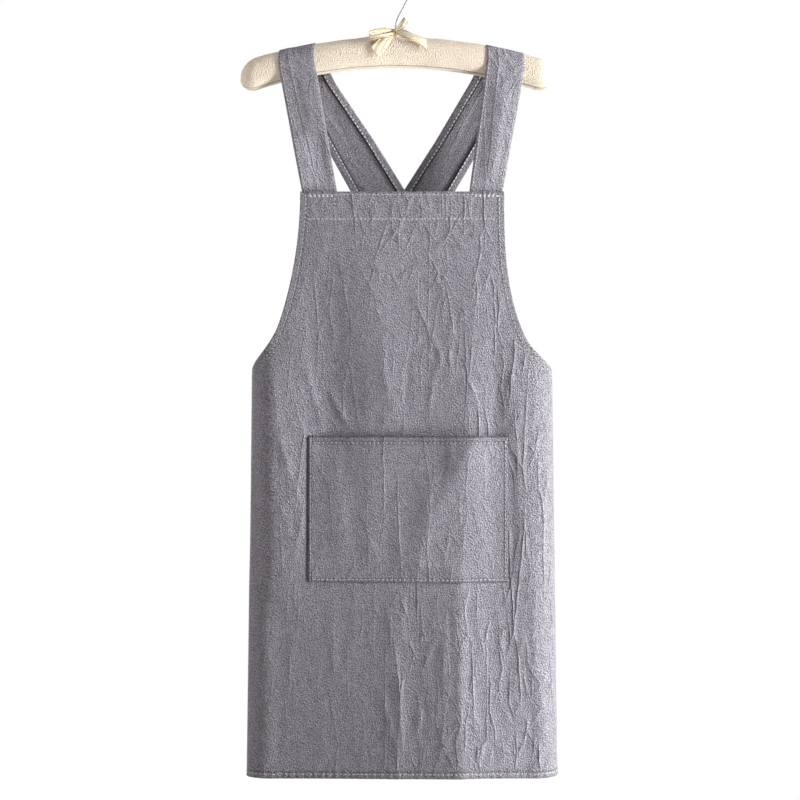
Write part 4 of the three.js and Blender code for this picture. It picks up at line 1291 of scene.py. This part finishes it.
# strips under the body between two lines, three rows each
def makeHems():
    width, edge = hemTurn["width"], hemTurn["edge"]
    strips = [(hemLine(edge), hemLine(width))]
    for side in (-1, 1):
        strips.append((armholeLine(side, edge), armholeLine(side, hemTurn["armholeWidth"])))
        strips.append((backEdgeLine(side, edge), backEdgeLine(side, width)))
    across = np.array([0.0, 0.5, 1.0])[:, None] * width
    points, faces, flats, edges, count = [], [], [], [], 0
    for k, lines in enumerate(strips):
        outer, inner = [bodyPoint(girth, drop, bodyRelief(girth, drop) - hemTurn["depth"])
                        for girth, drop in lines]
        strip = np.stack([outer, mix(outer, inner, 0.5), inner])
        place = across + hemTurn["pattern"] + hemTurn["patternStep"] * k
        flats.append(np.stack(np.broadcast_arrays(place, reachAlong(outer)[None]), axis=-1).reshape(-1, 2))
        edges.append(np.repeat(across, len(outer)))
        points.append(strip.reshape(-1, 3))
        faces.append(count + gridFaces(gridNumbers(*strip.shape[:2])))
        count += len(points[-1])
    piece = addPiece("turned_hems", np.concatenate(points), np.concatenate(faces), "body", "apron_cloth",
                     np.concatenate(flats), edgeDistance=np.concatenate(edges), creased=hemTurn["creased"])
    giveWall(piece, hemTurn["thickness"])
    return piece


# insets from the pocket's borders, ends short of its corners, and shades
pocketSewing = {"border": 3.5, "mouth": 8.5, "sideFrom": 2.0, "end": 3.0,
                "left": 0.42, "right": 0.36, "foot": 0.28, "top": 0.28}


def makePocketStitches():
    left, right = pocket["middle"] - pocket["half"], pocket["middle"] + pocket["half"]
    top, foot = pocket["top"], pocket["foot"]
    inset, end = pocketSewing["border"], pocketSewing["end"]
    side = np.linspace(top + pocketSewing["sideFrom"], foot - end, sewingSteps["pocketSide"])
    wide = np.linspace(left + end, right - end, sewingSteps["pocketWide"])
    courses = [
        (np.full_like(side, left + inset), side, pocketSewing["left"]),
        (np.full_like(side, right - inset), side, pocketSewing["right"]),
        (wide, np.full_like(wide, foot - inset), pocketSewing["foot"]),
        (wide, np.full_like(wide, top + pocketSewing["mouth"]), pocketSewing["top"]),
    ]
    lines = []
    for girth, drop, shade in courses:
        path = bodyPoint(girth, drop, pocketLift(girth, drop) + stitch["lift"])
        lines.append((path, outwardAt(girth, drop), shade))
    return addStitches("pocket_stitches", lines)


bodyStitches, bodyHems = makeBodyStitches(), makeHems()
makePocketStitches()
print("stitches and hems done")


# ribbon bow: each loop or tail is a band carried along a bowed line
bow = {
    "thickness": 0.45, "columns": 30, "rows": 44, "cup": 0.14, "cupMost": 0.9, "waves": 1.2,
    "waveStart": 1.0, "waveTurn": 3.0, "foldReach": 0.1, "tipPower": 6, "leastWidth": 0.01,
    "hollow": (-2.4, 71.6), "hollowReach": 1.7, "hollowShadow": 2.0,
}
bowBands = {
    # middle line as x, y, drop; half widths at its points; direction across as x, z; pressed folds as place
    # across and depth; tip: how far the end's middle stands out; deep: above 0 a deeper colour, below 0
    # painted light that lifts a band turned from the lamps
    "left_loop": {
        "line": [(0.0, -6.0, 68.2), (-14.0, -11.0, 69.2), (-29.5, -16.0, 74.7), (-30.0, -19.0, 79.0),
                 (-15.0, -19.5, 77.0), (0.0, -9.0, 71.6)],
        "half": (1.4, 3.4, 4.8, 3.6, 2.6, 1.4), "across": (0.25, -1.0), "folds": [(-0.35, 0.7), (0.7, 1.0)],
        "tip": (0.0, 0.0), "deep": 0.1, "ripple": 0.35,
    },
    "right_loop": {
        "line": [(0.8, -6.0, 69.2), (5.0, -8.0, 63.6), (11.3, -9.5, 55.5), (12.4, -11.0, 56.2),
                 (8.5, -12.0, 63.9), (0.8, -8.5, 69.7)],
        "half": (1.6, 2.6, 3.0, 3.0, 2.6, 1.6), "across": (0.78, -0.62), "folds": [(0.3, 0.2)],
        "tip": (0.0, 0.0), "deep": -0.1, "ripple": 0.1,
    },
    "left_tail": {
        "line": [(-1.0, -8.0, 71.0), (-7.8, -13.0, 76.1), (-13.5, -15.4, 80.8), (-21.3, -16.2, 90.8)],
        "half": (1.8, 5.3, 8.5, 9.8), "across": (1.0, -0.1), "folds": [(-0.6, 0.25)],
        "tip": (-0.8, -12.0), "deep": 0.0, "ripple": 0.12,
    },
    "right_tail": {
        "line": [(1.0, -10.2, 71.4), (9.8, -13.6, 73.2), (19.6, -16.0, 78.0), (29.4, -16.6, 82.6),
                 (37.0, -15.8, 87.0)],
        "half": (2.6, 4.8, 4.6, 5.2, 6.9), "across": (0.1, -1.0), "folds": [(-0.3, 0.25)],
        "tip": (0.0, 0.0), "deep": -0.1, "ripple": 0.25,
    },
}


# smooth line through the points: a cubic through each stretch with slopes taken from its neighbours
def bandLine(points, share):
    points = np.array([(x, y, -drop) for x, y, drop in points])
    slopes = np.gradient(points, axis=0)
    place = np.clip(share, 0.0, 1.0) * (len(points) - 1)
    index = np.minimum(place.astype(int), len(points) - 2)
    t = (place - index)[:, None]
    start, end, out, into = points[index], points[index + 1], slopes[index], slopes[index + 1]
    return ((2 * t ** 3 - 3 * t ** 2 + 1) * start + (t ** 3 - 2 * t ** 2 + t) * out
            + (3 * t ** 2 - 2 * t ** 3) * end + (t ** 3 - t ** 2) * into)


def makeBand(name, band):
    share = np.linspace(0.0, 1.0, bow["rows"] + 1)
    place = np.linspace(-1.0, 1.0, bow["columns"] + 1)[None]
    line = bandLine(band["line"], share)
    half = np.interp(share, np.linspace(0.0, 1.0, len(band["half"])), band["half"])[:, None]
    across = np.array([band["across"][0], 0.0, band["across"][1]]) / np.hypot(*band["across"])
    outward = unit(np.cross(unit(np.gradient(line, axis=0)), across))
    # cupped across, rippled, with narrow pressed folds, and a pointed end
    wave = np.sin(2 * np.pi * bow["waves"] * place + bow["waveStart"] + bow["waveTurn"] * share[:, None])
    lift = band["ripple"] * wave - np.minimum(bow["cup"] * half, bow["cupMost"]) * place ** 2
    for middle, depth in band["folds"]:
        lift = lift - depth * bell(place - middle, bow["foldReach"])
    tip = np.array([band["tip"][0], 0.0, band["tip"][1]])
    reach = (1.0 - np.abs(place)) * share[:, None] ** bow["tipPower"]
    points = (line[:, None] + across * (place * half)[..., None] + outward[:, None] * lift[..., None]
              + tip * reach[..., None]).reshape(-1, 3)
    faces = gridFaces(gridNumbers(half.size, place.size))
    steps = reachAlong(line)
    flat = np.stack(np.broadcast_arrays(place * half, steps[:, None]), axis=-1).reshape(-1, 2)
    # painted shadow: the ribbon is darkened in the hollow beside the knot, where shade falls
    fromHollow = np.hypot(points[:, 0] - bow["hollow"][0], points[:, 2] + bow["hollow"][1])
    piece = addPiece("ribbon_" + name, points, faces, "ribbon", "ribbon", flat,
                     edgeDistance=((1.0 - np.abs(place)) * half).ravel(),
                     deep=band["deep"] + bow["hollowShadow"] * bell(fromHollow, bow["hollowReach"]))
    giveWall(piece, bow["thickness"])


knot = {"at": (0.8, -6.2, -68.8), "half": (3.5, 4.0, 4.9), "pleats": 6, "pleatRise": 0.07, "pleatLean": 1.5,
        "columns": 40, "rows": 21, "edge": 9.0}


# knot: an ellipsoid with the pleats of the ribbon that is drawn round it
def makeKnot():
    turn = (2 * np.pi * np.arange(knot["columns"]) / knot["columns"])[None]
    rise = np.linspace(-np.pi / 2, np.pi / 2, knot["rows"] + 1)[1:-1][:, None]
    pleat = 1.0 + knot["pleatRise"] * np.sin(knot["pleats"] * turn + knot["pleatLean"] * rise) * np.cos(rise)
    across, deep, high = knot["half"]
    x = across * pleat * np.cos(rise) * np.cos(turn)
    y = deep * pleat * np.cos(rise) * np.sin(turn)
    z = np.broadcast_to(high * np.sin(rise), x.shape)
    ends = [[0.0, 0.0, -high], [0.0, 0.0, high]]
    points = np.concatenate([np.stack([x, y, z], axis=-1).reshape(-1, 3), ends]) + knot["at"]
    numbers = gridNumbers(*x.shape)
    faces = gridFaces(closeRows(numbers)).tolist() + fanFaces(numbers[0], x.size).tolist()
    faces += fanFaces(numbers[-1], x.size + 1, turned=True).tolist()
    piece = addPiece("ribbon_knot", points, faces, "ribbon", "ribbon", points[:, [0, 2]],
                     edgeDistance=knot["edge"])
    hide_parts("ribbon_bow")


makeKnot()
for name, band in bowBands.items():
    makeBand(name, band)
print("bow done")


# pale floor well below the hanging apron: rings round a middle
def makeFloor():
    turn = (2 * np.pi * np.arange(studio["floorSides"]) / studio["floorSides"])[None]
    reach = np.linspace(studio["floorCentre"], 1.0, studio["floorRings"])[:, None] * studio["floorRadius"]
    x, y = reach * np.cos(turn), reach * np.sin(turn)
    points = np.stack([x, y, np.full(x.shape, -studio["floorDrop"])], axis=-1).reshape(-1, 3)
    numbers = gridNumbers(*x.shape)
    faces = gridFaces(closeRows(numbers))[:, ::-1].tolist() + [numbers[0].tolist()]
    floor = addMesh("floor", points, faces, "floor")


makeFloor()
